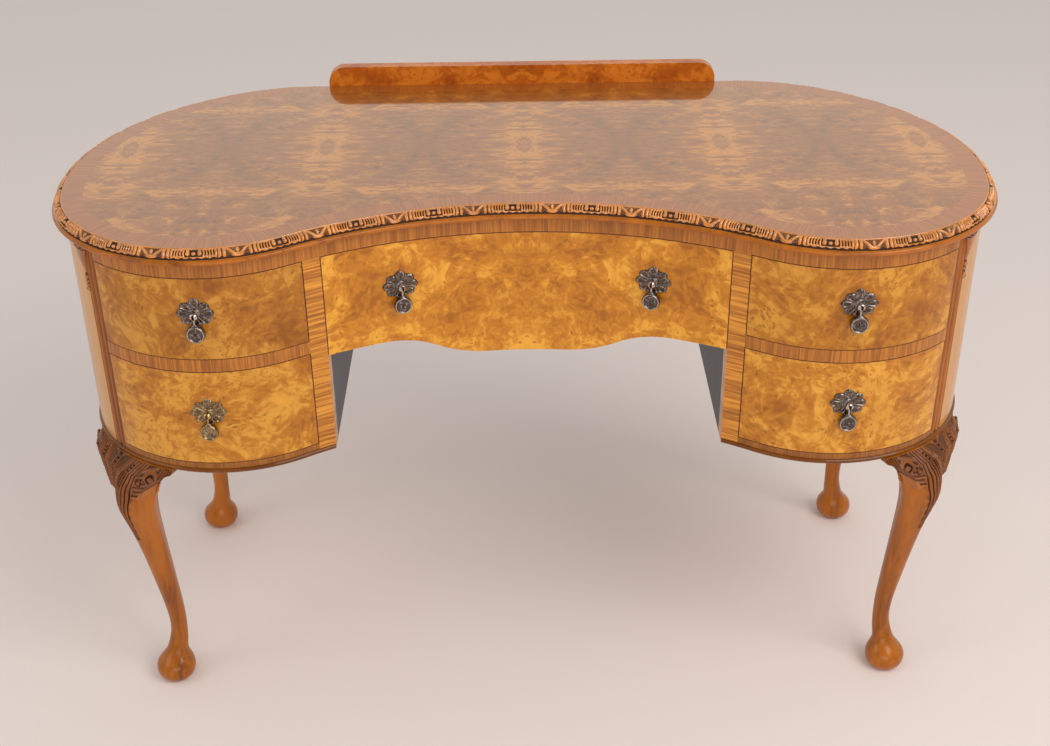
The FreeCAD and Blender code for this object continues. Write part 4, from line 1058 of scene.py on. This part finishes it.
class DRESSINGTABLE_OT_top(bpy.types.Operator):
    """Veneers the top: a matched burr field inside a crossbanded border"""
    bl_idname = "dressing_table.top"
    bl_label = "Veneered top"

    def execute(self, context):
        plan = context.scene.plan_settings
        look = context.scene.finish_settings
        outline = Outline(plan)
        width, high, low = plan.crossband_width, plan.table_height, plan.top_under
        columns = 900
        stations = np.linspace(-outline.whole, outline.whole, columns + 1)
        points, outward = edge_frame(outline, stations)
        inward = np.array([0.0, width, width, 0.0, 0.0])
        level = np.array([high, high, low, low, high])

        def border(u, v):
            index, row = np.rint(u * columns).astype(int), np.rint(v * 4).astype(int)
            return np.column_stack([points[index] - outward[index] * inward[row][:, None], level[row]])

        def border_map(u, v):
            return u * 2.0 * outline.whole, v * 4.0 * width

        band = close_up(draped_grid("top_crossband", columns, 4, border, border_map), fill_holes=False)
        light, dark = tinted(look.top_light, (0.86, 0.70, 0.70)), tinted(look.top_dark, (1.5, 1.2, 1.2))
        finish = band_finish("crossband_border", along_edge, (1.0, 0.035, 1.0), light, dark, TOP_POLISH, 1.0,
                             0.55)
        dress(smooth(band), finish, "carcase", "walnut", "top_board")

        field = add_piece("top_field", bpy.ops.mesh.primitive_circle_add, vertices=columns, fill_type="NGON")
        for vertex, point, direction in zip(field.data.vertices, points, outward):
            vertex.co = (*(point - direction * width), high)
        bpy.ops.object.mode_set(mode="EDIT")
        bpy.ops.mesh.select_all(action="SELECT")
        bpy.ops.mesh.extrude_region_move(TRANSFORM_OT_translate={"value": (0.0, 0.0, low - high)})
        bpy.ops.mesh.select_all(action="SELECT")
        bpy.ops.mesh.normals_make_consistent(inside=False)
        bpy.ops.object.mode_set(mode="OBJECT")
        dress(smooth(field), top_finish("burr_top_field"), "carcase", "walnut_burr", "top_board")
        return {"FINISHED"}


class DRESSINGTABLE_OT_rim(bpy.types.Operator):
    """Carves the edge moulding and turns the plain bead under it"""
    bl_idname = "dressing_table.rim"
    bl_label = "Carved edge moulding"

    def execute(self, context):
        plan = context.scene.plan_settings
        carving = context.scene.carving_settings
        look = context.scene.finish_settings
        outline = Outline(plan)
        high = plan.table_height
        low = plan.top_under + 2.0 * carving.bead_radius
        out = plan.rim_projection - carving.bead_radius + carving.bead_step
        rise = high - low
        # the arc that the carving covers is a quarter of an ellipse, whose length is close to this
        around = math.sqrt((3.0 * out + rise) * (out + 3.0 * rise))
        band = math.pi / 4.0 * (3.0 * (out + rise) - around) / MM
        relief_rows, relief_step = 34, 0.00066
        turn = np.linspace(0.0, QUARTER_TURN, relief_rows + 1)
        carved = carved_finish("carved_walnut", look.carved_high, look.carved_hollow_shade)
        for word, side in (("right", 1.0), ("left", -1.0)):
            columns = int(outline.half / relief_step)
            stations = np.linspace(0.0, outline.half, columns + 1) * side
            points, outward = edge_frame(outline, stations)
            along = (stations - carving.first_eye) / MM
            across = np.linspace(-0.5, 0.5, relief_rows + 1) * band
            height = rim_relief(along[:, None], across[None, :], carving.repeat / MM)
            height[:, 0] = height[:, -1] = 1.0
            sunk = (1.0 - height) * carving.relief
            offset = np.column_stack([(out - sunk) * np.sin(turn), np.zeros((columns + 1, 2))])
            level = low + (rise - sunk) * np.cos(turn)
            level = np.column_stack([level, np.full((columns + 1, 2), (low, high))])
            # the depth of each point, which the finish paints as shade in the hollows
            hollow = np.column_stack([1.0 - height, np.zeros((columns + 1, 2))])
            flat = points[:, None, :] + outward[:, None, :] * offset[..., None]
            piece = grid_of_points("carved_rim_" + word, np.concatenate([flat, level[..., None]], -1),
                                   hollow=hollow)
            dress(smooth(close_up(piece), 60.0), carved, "carcase", "walnut_carved", "carved_edge_moulding")

        columns = 1000
        points, outward = edge_frame(outline, np.linspace(-outline.half, outline.half, columns + 1))
        r = carving.bead_radius
        turns = np.linspace(math.radians(80.0), math.radians(-90.0), 13)
        bow = [(plan.rim_projection - r + r * math.cos(turn), plan.top_under + r + r * math.sin(turn))
               for turn in turns]
        ring = np.array([(0.0, low), (out, low), *bow, (0.0, plan.top_under), (0.0, low)])
        # the section is drawn in distance from the top's edge and in height
        flat = points[:, None, :] + outward[:, None, :] * ring[None, :, :1]
        level = np.broadcast_to(ring[None, :, 1:], flat.shape[:2] + (1,))
        bead = close_up(grid_of_points("rim_bead", np.concatenate([flat, level], -1)))
        dress(smooth(bead, 50.0), solid_finish("bead_walnut", (1.0, 1.0, 1.0), 1.05), "carcase", "walnut",
              "carved_edge_moulding")
        return {"FINISHED"}


class DRESSINGTABLE_OT_legs(bpy.types.Operator):
    """Carves the front legs with their ears, and shapes the plain rear legs with theirs"""
    bl_idname = "dressing_table.legs"
    bl_label = "Cabriole legs"

    def execute(self, context):
        legs = context.scene.leg_settings
        relief = context.scene.carving_settings.knee_relief / MM
        outline = Outline(context.scene.plan_settings)
        finish = leg_finish("carved_leg_walnut")
        # bearings from the leg's outward corner, in degrees, closest where the ears are carved
        spans = ((0.0, 58.0, 1.0), (58.0, 88.0, 0.6), (88.0, 108.0, 2.0), (108.0, 180.0, 6.0))
        near = np.concatenate([np.arange(*span) for span in spans])
        bearings = np.radians(np.concatenate([[-180.0], -near[:0:-1], near]))
        front = LegShape(legs, outline.lobe, outline.lobe_radius, FRONT_LEG_DEGREES, FRONT_FOOT_TURN,
                         legs.front_inset, legs.front_sway, legs.ear_inner_reach, legs.ear_outer_reach)
        points, first, rows = front.points(bearings, KNEE_FROM, step=0.85, coarse=4.0)
        psi = np.degrees(np.arctan2(points[..., 1] - front.axis[1], points[..., 0] - front.axis[0]))
        drop = front.height - points[..., 2]
        offset = (psi - np.interp(drop, MIDRIB_DROPS, MIDRIB_DEGREES)) * MM_PER_DEGREE
        height, mask, groove = knee_relief(offset, drop)
        # carved on the knee only, and not at the leg's back
        knee = np.zeros(points.shape[1])
        knee[first:first + rows - 1] = 1.0
        seen = knee[None, :] * (np.cos(bearings) > -0.25)[:, None]
        mask, groove = mask * seen, groove * seen
        sunk = mask * (1.0 - height) * relief + (1.0 - mask) * groove * relief * 0.5
        points = points - skin_normals(points) * sunk[..., None]
        # the depth of the carving and of its edge groove, which the finish paints as shade
        hollow = clamped(mask * (1.0 - height) + groove * 0.45)
        carved = clamped(mask + groove * 0.6)
        right = grid_of_points("carved_leg_right", closed(points) * MM, hollow=closed(hollow),
                               carved=closed(carved))
        self.place(right, finish, "front_leg")

        bearings = np.radians(np.arange(-180.0, 180.0, 4.0))
        rear = LegShape(legs, outline.end, outline.end_radius, REAR_LEG_DEGREES, 0.0, legs.rear_inset,
                        legs.rear_sway, legs.ear_inner_reach, legs.ear_inner_reach)
        points = rear.points(bearings, KNEE_FROM, step=2.0, coarse=5.0)[0]
        right = grid_of_points("plain_leg_right", closed(points) * MM)
        self.place(right, solid_finish("rear_leg_walnut"), "rear_leg")
        return {"FINISHED"}

    def place(self, right, finish, node):
        """Closes the right-hand leg, mirrors it, and gives both to the carcase."""
        smooth(close_up(right, fill_holes=False), 42.0)
        left = copy_of(right, right.name.replace("right", "left"), MIRROR)
        for piece, word in ((right, "_right"), (left, "_left")):
            dress(piece, finish, "carcase", "walnut", node + word, "knee_ears")


# The carved drops: their heights in millimetres, where scroll and leaf end, and the posts that they are on
DROP_LOW, DROP_HIGH, SCROLL_END, LEAF_END = 644.5, 718.5, 11.0, 47.0
DROP_BEADS = ((53.0, 3.5), (59.6, 3.0), (65.0, 2.5), (70.0, 4.0))
POST_DEGREES, POST_REACH = -39.5, 0.199


class DRESSINGTABLE_OT_drops(bpy.types.Operator):
    """Carves the drop at the head of each corner post: scroll, leaf, three beads and a ball"""
    bl_idname = "dressing_table.drops"
    bl_label = "Carved drops"

    def execute(self, context):
        look = context.scene.finish_settings
        outline = Outline(context.scene.plan_settings)
        z = np.arange(DROP_LOW, DROP_HIGH + 0.01, 0.5)
        from_top = DROP_HIGH - z
        scrolled, bracket = from_top < SCROLL_END, from_top < LEAF_END
        leaf_share = clamped((from_top - SCROLL_END) / (LEAF_END - SCROLL_END))
        # half width and reach of scroll and leaf, and the radius of the beads and the ball below them
        narrowing = (0.80 + 0.20 * np.cos(np.pi * leaf_share * 1.1)) * (1.0 - 0.50 * leaf_share ** 2.2)
        width = np.where(scrolled, 9.0, 9.0 * narrowing)
        swell = 2.6 * np.sin(np.pi * clamped(leaf_share * 0.9 + 0.1))
        reach = np.where(scrolled, 7.9 + 3.1 * dome((from_top - 5.5) / 5.6), 7.0 + swell - 4.2 * leaf_share)
        bead = np.full_like(z, 1.8)
        for middle, radius in DROP_BEADS:
            bead = np.maximum(bead, radius * dome((from_top - middle) / radius))
        bead = np.where(from_top > 73.4, 0.9, bead)
        # rounded-square sections above, round ones below
        turn = np.linspace(-math.pi, math.pi, 61)[:, None]
        square, back = 2.0 / 3.2, 2.0
        cosine, sine = np.cos(turn), np.sin(turn)
        box_x, box_y = (np.sign(side) * np.abs(side) ** square for side in (cosine, sine))
        x = np.maximum(np.where(bracket, back + (reach - back) * box_x, back + bead * cosine), 0.0)
        y = np.where(bracket, width * box_y, bead * sine)
        u = np.where(bracket, y / width, 0.0)
        # cuts of the carving, on the front only
        front = clamped(cosine * 4.0)
        curl = 0.75 * bell(np.hypot(np.abs(y) - 5.2, from_top - 5.8) - 3.0, 0.75)
        scroll = np.where(from_top < 11.5, curl + 0.8 * bell(np.abs(y) - 1.3, 0.5), 0.0)
        seam = 0.9 * bell(from_top - 12.0, 0.8)
        veins = 0.85 * bell(np.abs(u) - 0.16, 0.06) + 0.75 * bell(np.abs(u) - 0.52 - 0.08 * leaf_share, 0.06)
        edge = 0.5 * (0.5 + 0.5 * wave(from_top, 5.0)) * bell(np.abs(u) - 0.86, 0.12)
        leaf = np.where((from_top > 13.0) & bracket, np.maximum(veins, edge), 0.0)
        necks = np.where(bracket, 0.0, clamped((2.5 - bead) / 0.7) * 0.9)
        cuts = np.maximum(np.maximum(scroll, seam * bracket), np.maximum(leaf, necks))
        hollow = clamped(cuts) * front
        x = x - hollow * np.where(bracket, 1.1, 0.0) * front
        # the cuts are painted as shade, and the top 12 mm, where the scroll is, is painted darker as a whole
        dark = clamped(hollow + np.where(from_top < 12.0, 0.45, 0.0))
        points = np.stack([x, y, np.broadcast_to(z, x.shape)], -1)
        ends = [np.broadcast_to(points[:, end].mean(0), points[:, end].shape)[:, None] for end in (0, -1)]
        points = np.concatenate([ends[0], points, ends[1]], 1)
        dark = np.pad(dark, ((0, 0), (1, 1)), mode="edge")
        piece = grid_of_points("carved_drop_right", points * MM, hollow=dark)
        smooth(close_up(piece, fill_holes=False), 50.0)
        axis = Matrix.Translation((*outline.lobe, 0.0)) @ Matrix.Rotation(math.radians(POST_DEGREES), 4, "Z")
        piece.data.transform(axis @ Matrix.Translation((POST_REACH, 0.0, 0.0)))
        twin = copy_of(piece, "carved_drop_left", MIRROR)
        finish = carved_finish("carved_drop_walnut", scaled_colour(look.solid_light, 0.95), look.carved_hollow_shade)
        for item in (piece, twin):
            dress(item, finish, "carcase", "walnut_carved", "carved_drops")
        return {"FINISHED"}


# The pulls: lobes of the rose, and the radius of the raised ring on the drop, in millimetres
LOBES, RING_RADIUS = 8, 10.4
LOBE_STEP = 2.0 * math.pi / LOBES


def lobed_edge(turn, pulls):
    """Outline of the rose, with pointed lobes, the top one standing higher: how far each place is from the
    middle of its lobe, and the plate's half width and half height there."""
    phase = np.abs(from_repeat(turn, LOBE_STEP)) / LOBE_STEP * 2.0
    share = 1.0 - 0.16 * phase ** 1.1
    from_top = (np.degrees(turn) - 90.0) % 360.0
    top = bell(from_top, 16.0) + bell(from_top - 360.0, 16.0)
    share = share * (1.0 + 0.10 * top) * (1.0 - 0.02 * np.cos(turn * 16.0) * phase)
    return phase, pulls.rose_half_width / MM * share, pulls.rose_half_height / MM * share


class DRESSINGTABLE_OT_pulls(bpy.types.Operator):
    """Casts the six pulls: a pierced rose with a slotted ball, and a hanging drop with a dished disc"""
    bl_idname = "dressing_table.pulls"
    bl_label = "Drop pulls"

    def execute(self, context):
        pulls = context.scene.pull_settings
        look = context.scene.finish_settings
        bronze = bronze_finish("cast_bronze", look.bronze_dark, look.bronze_worn_and_highlight, 0.50)
        brass = bronze_finish("worn_brass", scaled_colour(look.bronze_dark, 1.3), look.brass_worn, 0.80)
        rose, drop = self.rose(pulls), self.drop(pulls)
        outline = Outline(context.scene.plan_settings)
        places = []
        for hand, side in (("left", -1.0), ("right", 1.0)):
            outer, inner = side * pulls.side_place, side * pulls.centre_place
            places += [("upper_" + hand + "_drawer", "", "_rose", outer, pulls.side_upper),
                       ("lower_" + hand + "_drawer", "", "_rose", outer, pulls.side_lower),
                       ("centre_drawer", "_" + hand, "_roses", inner, pulls.centre_height)]
        for drawer, word, ending, x, level in places:
            point, turn = self.face(outline, x)
            matrix = Matrix.Translation((point.x, point.y, level)) @ Matrix.Rotation(turn, 4, "Z")
            metal = brass if drawer == "lower_left_drawer" else bronze
            plate = copy_of(rose, drawer + "_cast_rose" + word, matrix)
            dress(plate, metal, drawer, "aged_bronze", drawer + ending)
            hanging = drawer + "_drop_pull" + word
            dress(copy_of(drop, drawer + "_cast_drop" + word, matrix), metal, hanging, "aged_bronze", hanging)
        for model in (rose, drop):
            bpy.data.objects.remove(model, do_unlink=True)
        return {"FINISHED"}

    def face(self, outline, x):
        """Where a pull meets the drawer's face, and its turn."""
        inset, seat = 0.002, 0.0006
        side = math.copysign(1.0, x)
        hollow, radius = outline.arcs[0][:2]
        if abs(x) < (hollow + (outline.lobe - hollow).normalized() * (radius + inset)).x:
            r = radius + inset
            point = Vector((x, hollow.y + math.sqrt(r * r - x * x)))
            outward = (hollow - point).normalized()
            point = point + outward * seat
        else:
            r = outline.lobe_radius - inset
            middle = Vector((side * outline.lobe.x, outline.lobe.y))
            point = Vector((x, middle.y - math.sqrt(r * r - (x - middle.x) ** 2)))
            outward = (point - middle).normalized()
        return point, math.atan2(outward.x, -outward.y)

    def rose(self, pulls):
        """The plate is a lobed disc with ribs, pierced between them; the ball is turned and slotted."""
        columns, rings = 192, 18
        turn = np.linspace(0.0, 2.0 * math.pi, columns + 1)[:, None]
        phase, wide, tall = lobed_edge(turn, pulls)
        share, rim = np.linspace(0.0, 1.0, rings + 1)[None, :], 0.90
        # heights of the ribs beside each lobe's middle, of the leaf at its tip, and of the whole face
        ribs = 1.10 * bell(phase - 0.62, 0.13) * window(share, 0.25, 0.99, 0.15)
        leaf = 0.45 * bell(phase, 0.14) * window(share, 0.72, 1.0, 0.08)
        crest = 1.7 - 0.9 * share ** 2 + ribs + leaf + 0.80 * bell(share - rim, 0.06)
        crest = crest * np.clip((1.0 - share) / 0.06, 0.35, 1.0)
        x, z = wide * share * np.cos(turn), tall * share * np.sin(turn)
        face = np.stack([x, -crest, z], -1)
        back = np.stack([x, np.zeros_like(x), z], -1)[:, ::-1]
        # the ribs and the rim are painted bright: partly wear, partly painted highlight
        worn_and_highlight = np.clip(0.42 * ribs + 0.30 * bell(share - rim, 0.05), 0.0, 0.45)
        plate = self.plate("rose", face, back, worn_and_highlight, 50.0)
        # three holes along each lobe, closer together in the top one
        cutters = []
        for i in range(LOBES):
            low, high = (0.62 if i == LOBES // 4 else 0.44), 0.76
            for out, size in ((low + 0.06, 0.95), ((low + high) / 2.0, 1.55), (high - 0.03, 1.05)):
                place = (pulls.rose_half_width * out * math.cos(i * LOBE_STEP), 0.0,
                         pulls.rose_half_height * out * math.sin(i * LOBE_STEP))
                rod = add_piece("piercing", bpy.ops.mesh.primitive_cylinder_add, place, vertices=14,
                                radius=size * MM, depth=0.012, rotation=(QUARTER_TURN, 0.0, 0.0))
                cutters.append(settle(rod))
        for cutter in cutters:
            cut(plate, cutter)
        # the collar, then the ball with two grooves round it, as radius and place along the post
        reach, ball = pulls.pin_reach / MM, pulls.ball_radius / MM
        profile = [(0.0, -0.4), (6.6, -0.4), (6.8, -1.6), (6.2, -2.4), (5.0, -2.9), (4.0, -3.2), (3.3, -3.6),
                   (3.3, -4.5)]
        for degrees in np.linspace(-52.0, 90.0, 20):
            a = math.radians(degrees)
            swell = 1.0 - 0.055 * float(bell(degrees - 8.0, 7.0)) - 0.055 * float(bell(degrees - 42.0, 6.0))
            profile.append((max(ball * math.cos(a) * swell, 0.0), -reach - ball * math.sin(a) * swell))
        post = turned("rose_post", np.array(profile) * MM, 40)
        collar_end = 0.0050
        # the ball beyond the collar is painted bright all over, as wear and as its highlight; the collar only
        # a little
        store(post, "rubbed", [1.0 if -vertex.co.y > collar_end else 0.2 for vertex in post.data.vertices])
        slot = add_piece("slot", bpy.ops.mesh.primitive_cube_add, size=1.0)
        slot_middle, slot_size = (0.0, -0.0128, -0.00375), (0.0032, 0.0134, 0.0145)
        for vertex in slot.data.vertices:
            vertex.co = [at + share * size for share, at, size in zip(vertex.co, slot_middle, slot_size)]
        cut(post, slot)
        pin = add_piece("pin", bpy.ops.mesh.primitive_cylinder_add, (0.0, -pulls.pin_reach, 0.0), vertices=20,
                        radius=0.0011, depth=0.0036, rotation=(0.0, QUARTER_TURN, 0.0))
        return smooth(join([plate, post, settle(pin)], "rose"), 40.0)

    def plate(self, name, face, back, worn_and_highlight, degrees):
        """A cast plate closed from its face and back, with its wear and painted highlight on its face only.
        """
        piece = grid_of_points(name, np.concatenate([face, back], 1) * MM,
                               rubbed=np.concatenate([worn_and_highlight, np.zeros_like(worn_and_highlight)], 1))
        return smooth(close_up(piece, fill_holes=False), degrees)

    def drop(self, pulls):
        """A tear-shaped drop: its edge runs from the disc up to the stalk, with a raised ring and a dish."""
        radius, fall = pulls.disc_radius / MM, pulls.disc_drop / MM
        # columns all round from the top, closest there, where the stalk is
        place = np.linspace(-1.0, 1.0, 221)
        turn = QUARTER_TURN + np.sign(place) * math.pi * np.abs(place) ** 1.8
        a = np.abs(np.arctan2(np.sin(turn - QUARTER_TURN), np.cos(turn - QUARTER_TURN)))
        # the outline: straight sides from the apex that touch the disc, and the stalk
        apex, touch = 15.5, radius * 0.97
        lean = math.asin(touch / apex)
        edge = apex * math.sin(lean) / np.sin(np.clip(a + lean, 0.05, math.pi - 0.05))
        edge = np.where(a < QUARTER_TURN - lean, edge, 0.0)
        stalk_half, stalk_top = 1.25, 22.0
        stalk = np.minimum(stalk_half / np.maximum(np.sin(a), 1e-4), stalk_top / np.maximum(np.cos(a), 0.1))
        stalk = np.where(a < 0.14, stalk, 0.0)
        edge = np.maximum(np.maximum(edge, radius), stalk)[:, None]
        shares = np.append(np.linspace(0.0, 0.9, 22), [0.94, 0.97, 0.99, 1.0])[None, :]
        ring = edge * shares
        beyond = clamped((ring - radius * 0.94) / 3.0)
        flat_half = 3.5 - 1.6 * beyond
        # the raised ring, the dish inside it and the low relief of the dish
        raised = 0.9 * bell(ring - RING_RADIUS, 1.15) - 0.9 * clamped((9.6 - ring) / 1.2)
        ripple = 0.35 * np.cos(ring * 1.3 + 2.0 * np.sin(4.0 * turn[:, None]))
        raised = raised + ripple * clamped((8.0 - ring) / 3.0)
        rounding = 0.12 + 0.88 * dome(clamped((shares - 0.88) / 0.12))
        crest = (flat_half + raised * (1.0 - beyond)) * rounding
        reach = pulls.pin_reach / MM
        x = ring * np.cos(turn)[:, None]
        z = ring * np.sin(turn)[:, None] - fall
        face = np.stack([x, -reach - crest, z], -1)
        back = np.stack([x, -reach + flat_half * rounding, z], -1)[:, ::-1]
        # the raised ring and the edge are painted bright: partly wear, partly painted highlight
        worn_and_highlight = np.clip(0.70 * bell(ring - RING_RADIUS, 1.0) + 0.6 * beyond, 0.0, 0.7)
        body = self.plate("drop", face, back, worn_and_highlight, 45.0)
        eye = add_piece("eye", bpy.ops.mesh.primitive_torus_add, (0.0, -pulls.pin_reach, 0.0),
                        major_segments=28, minor_segments=12, major_radius=0.00215, minor_radius=0.00100,
                        rotation=(0.0, QUARTER_TURN, 0.0))
        return smooth(join([body, settle(eye)], "drop"), 45.0)


# The camera that was fitted to the photograph: its place in metres, its turns in radians, and its focal
# length as a share of the picture's width
CAMERA_PLACE, CAMERA_FOCAL, SENSOR_WIDTH = (-0.0155, -1.9488, 1.5510), 1498.68 / 1050.0, 36.0
CAMERA_YAW, CAMERA_PITCH, CAMERA_ROLL = 0.006646, 0.539653, -0.011438
FLOOR_WIDTH = 24.0


class DRESSINGTABLE_OT_stage(bpy.types.Operator):
    """Sets the pale floor, the soft light and the camera"""
    bl_idname = "dressing_table.stage"
    bl_label = "Floor, light and camera"

    def execute(self, context):
        scene = context.scene
        stage = scene.stage_settings
        floor = add_piece("floor", bpy.ops.mesh.primitive_plane_add, size=FLOOR_WIDTH)
        finish = Finish("pale_floor", Roughness=0.9)
        weave = finish.noise(finish.place(), 300.0, 3.0, 0.6)
        finish.set("Base Color", finish.mix(weave, scaled_colour(stage.floor, 0.97),
                                            scaled_colour(stage.floor, 1.03)))
        paint(floor, finish.material)
        self.surround(scene, stage)

        # name, place, aim, width and height, and power
        lamps = (
            ("key_light", (1.8, -1.7, 2.7), (0.0, 0.0, 0.45), (2.2, 1.6), stage.key),
            ("side_light", (-2.6, -1.2, 1.9), (-0.2, 0.0, 0.5), (1.4, 1.4), stage.key * 0.20),
            ("low_front_light", (0.1, -3.2, 1.1), (0.0, 0.0, 0.4), (2.4, 1.2), stage.key * 0.36),
        )
        for name, place, aim, size, power in lamps:
            bpy.ops.object.light_add(type="AREA", location=place)
            lamp = context.object
            lamp.name = name
            lamp.data.shape = "RECTANGLE"
            lamp.data.size, lamp.data.size_y = size
            lamp.data.energy = power
            lamp.rotation_euler = (Vector(aim) - Vector(place)).to_track_quat("-Z", "Y").to_euler()

        yaw, pitch, roll = CAMERA_YAW, CAMERA_PITCH, CAMERA_ROLL
        forward = Vector((math.sin(yaw) * math.cos(pitch), math.cos(yaw) * math.cos(pitch), -math.sin(pitch)))
        right = Vector((math.cos(yaw), -math.sin(yaw), 0.0))
        up = right.cross(forward)
        across = right * math.cos(roll) + up * math.sin(roll)
        upward = up * math.cos(roll) - right * math.sin(roll)
        bpy.ops.object.camera_add(location=CAMERA_PLACE)
        camera = context.object
        camera.name = "camera"
        camera.rotation_euler = Matrix((across, upward, -forward)).transposed().to_euler()
        camera.data.sensor_fit = "HORIZONTAL"
        camera.data.sensor_width = SENSOR_WIDTH
        camera.data.lens = CAMERA_FOCAL * SENSOR_WIDTH
        scene.camera = camera
        scene.view_settings.view_transform = "Standard"
        return {"FINISHED"}

    def surround(self, scene, stage):
        """A pale surround: full strength where seen, softer where it lights, and darker behind the camera
        where the polish reflects it."""
        scene.world = bpy.data.worlds.new("surround")
        nodes = Nodes(scene.world, "Background")
        seen, glossy, through = (nodes.add("LightPath", output=name) for name in
                                 ("Is Camera Ray", "Is Glossy Ray", "Is Transmission Ray"))
        ahead = nodes.parts(nodes.add("TexCoord", output="Generated"))[1]
        room = ahead.spread(stage.room, 1.0, -0.6, 0.6)
        soft = glossy.at_least(through).spread(stage.fill, room)
        nodes.set("Strength", seen.spread(soft, 1.0))
        nodes.set("Color", nodes.mix(glossy, stage.sky, stage.warm))


class DRESSINGTABLE_PT_sidebar(bpy.types.Panel):
    bl_label = "Dressing Table"
    bl_idname = "DRESSINGTABLE_PT_sidebar"
    bl_space_type = "VIEW_3D"
    bl_region_type = "UI"
    bl_category = "Dressing Table"

    def draw(self, context):
        for operator in OPERATORS:
            self.layout.operator(operator.bl_idname, text=operator.bl_label)
        for name in GROUPS:
            group = getattr(context.scene, name)
            box = self.layout.box()
            for key in group.bl_rna.properties.keys():
                if key not in ("rna_type", "name"):
                    box.prop(group, key)


OPERATORS = (
    DRESSINGTABLE_OT_finishes,
    DRESSINGTABLE_OT_top,
    DRESSINGTABLE_OT_rim,
    DRESSINGTABLE_OT_legs,
    DRESSINGTABLE_OT_drops,
    DRESSINGTABLE_OT_pulls,
    DRESSINGTABLE_OT_stage,
)
GROUPS = {
    "plan_settings": PlanSettings,
    "carving_settings": CarvingSettings,
    "leg_settings": LegSettings,
    "pull_settings": PullSettings,
    "finish_settings": FinishSettings,
    "stage_settings": StageSettings,
}


def register():
    for group in GROUPS.values():
        bpy.utils.register_class(group)
    for name, group in GROUPS.items():
        setattr(bpy.types.Scene, name, bpy.props.PointerProperty(type=group))
    for item in OPERATORS + (DRESSINGTABLE_PT_sidebar,):
        bpy.utils.register_class(item)


def unregister():
    for item in (DRESSINGTABLE_PT_sidebar,) + OPERATORS[::-1]:
        bpy.utils.unregister_class(item)
    for name, group in GROUPS.items():
        delattr(bpy.types.Scene, name)
        bpy.utils.unregister_class(group)


def main():
    register()
    for operator in OPERATORS:
        family, action = operator.bl_idname.split(".")
        getattr(getattr(bpy.ops, family), action)()


if __name__ == "__main__":
    main()
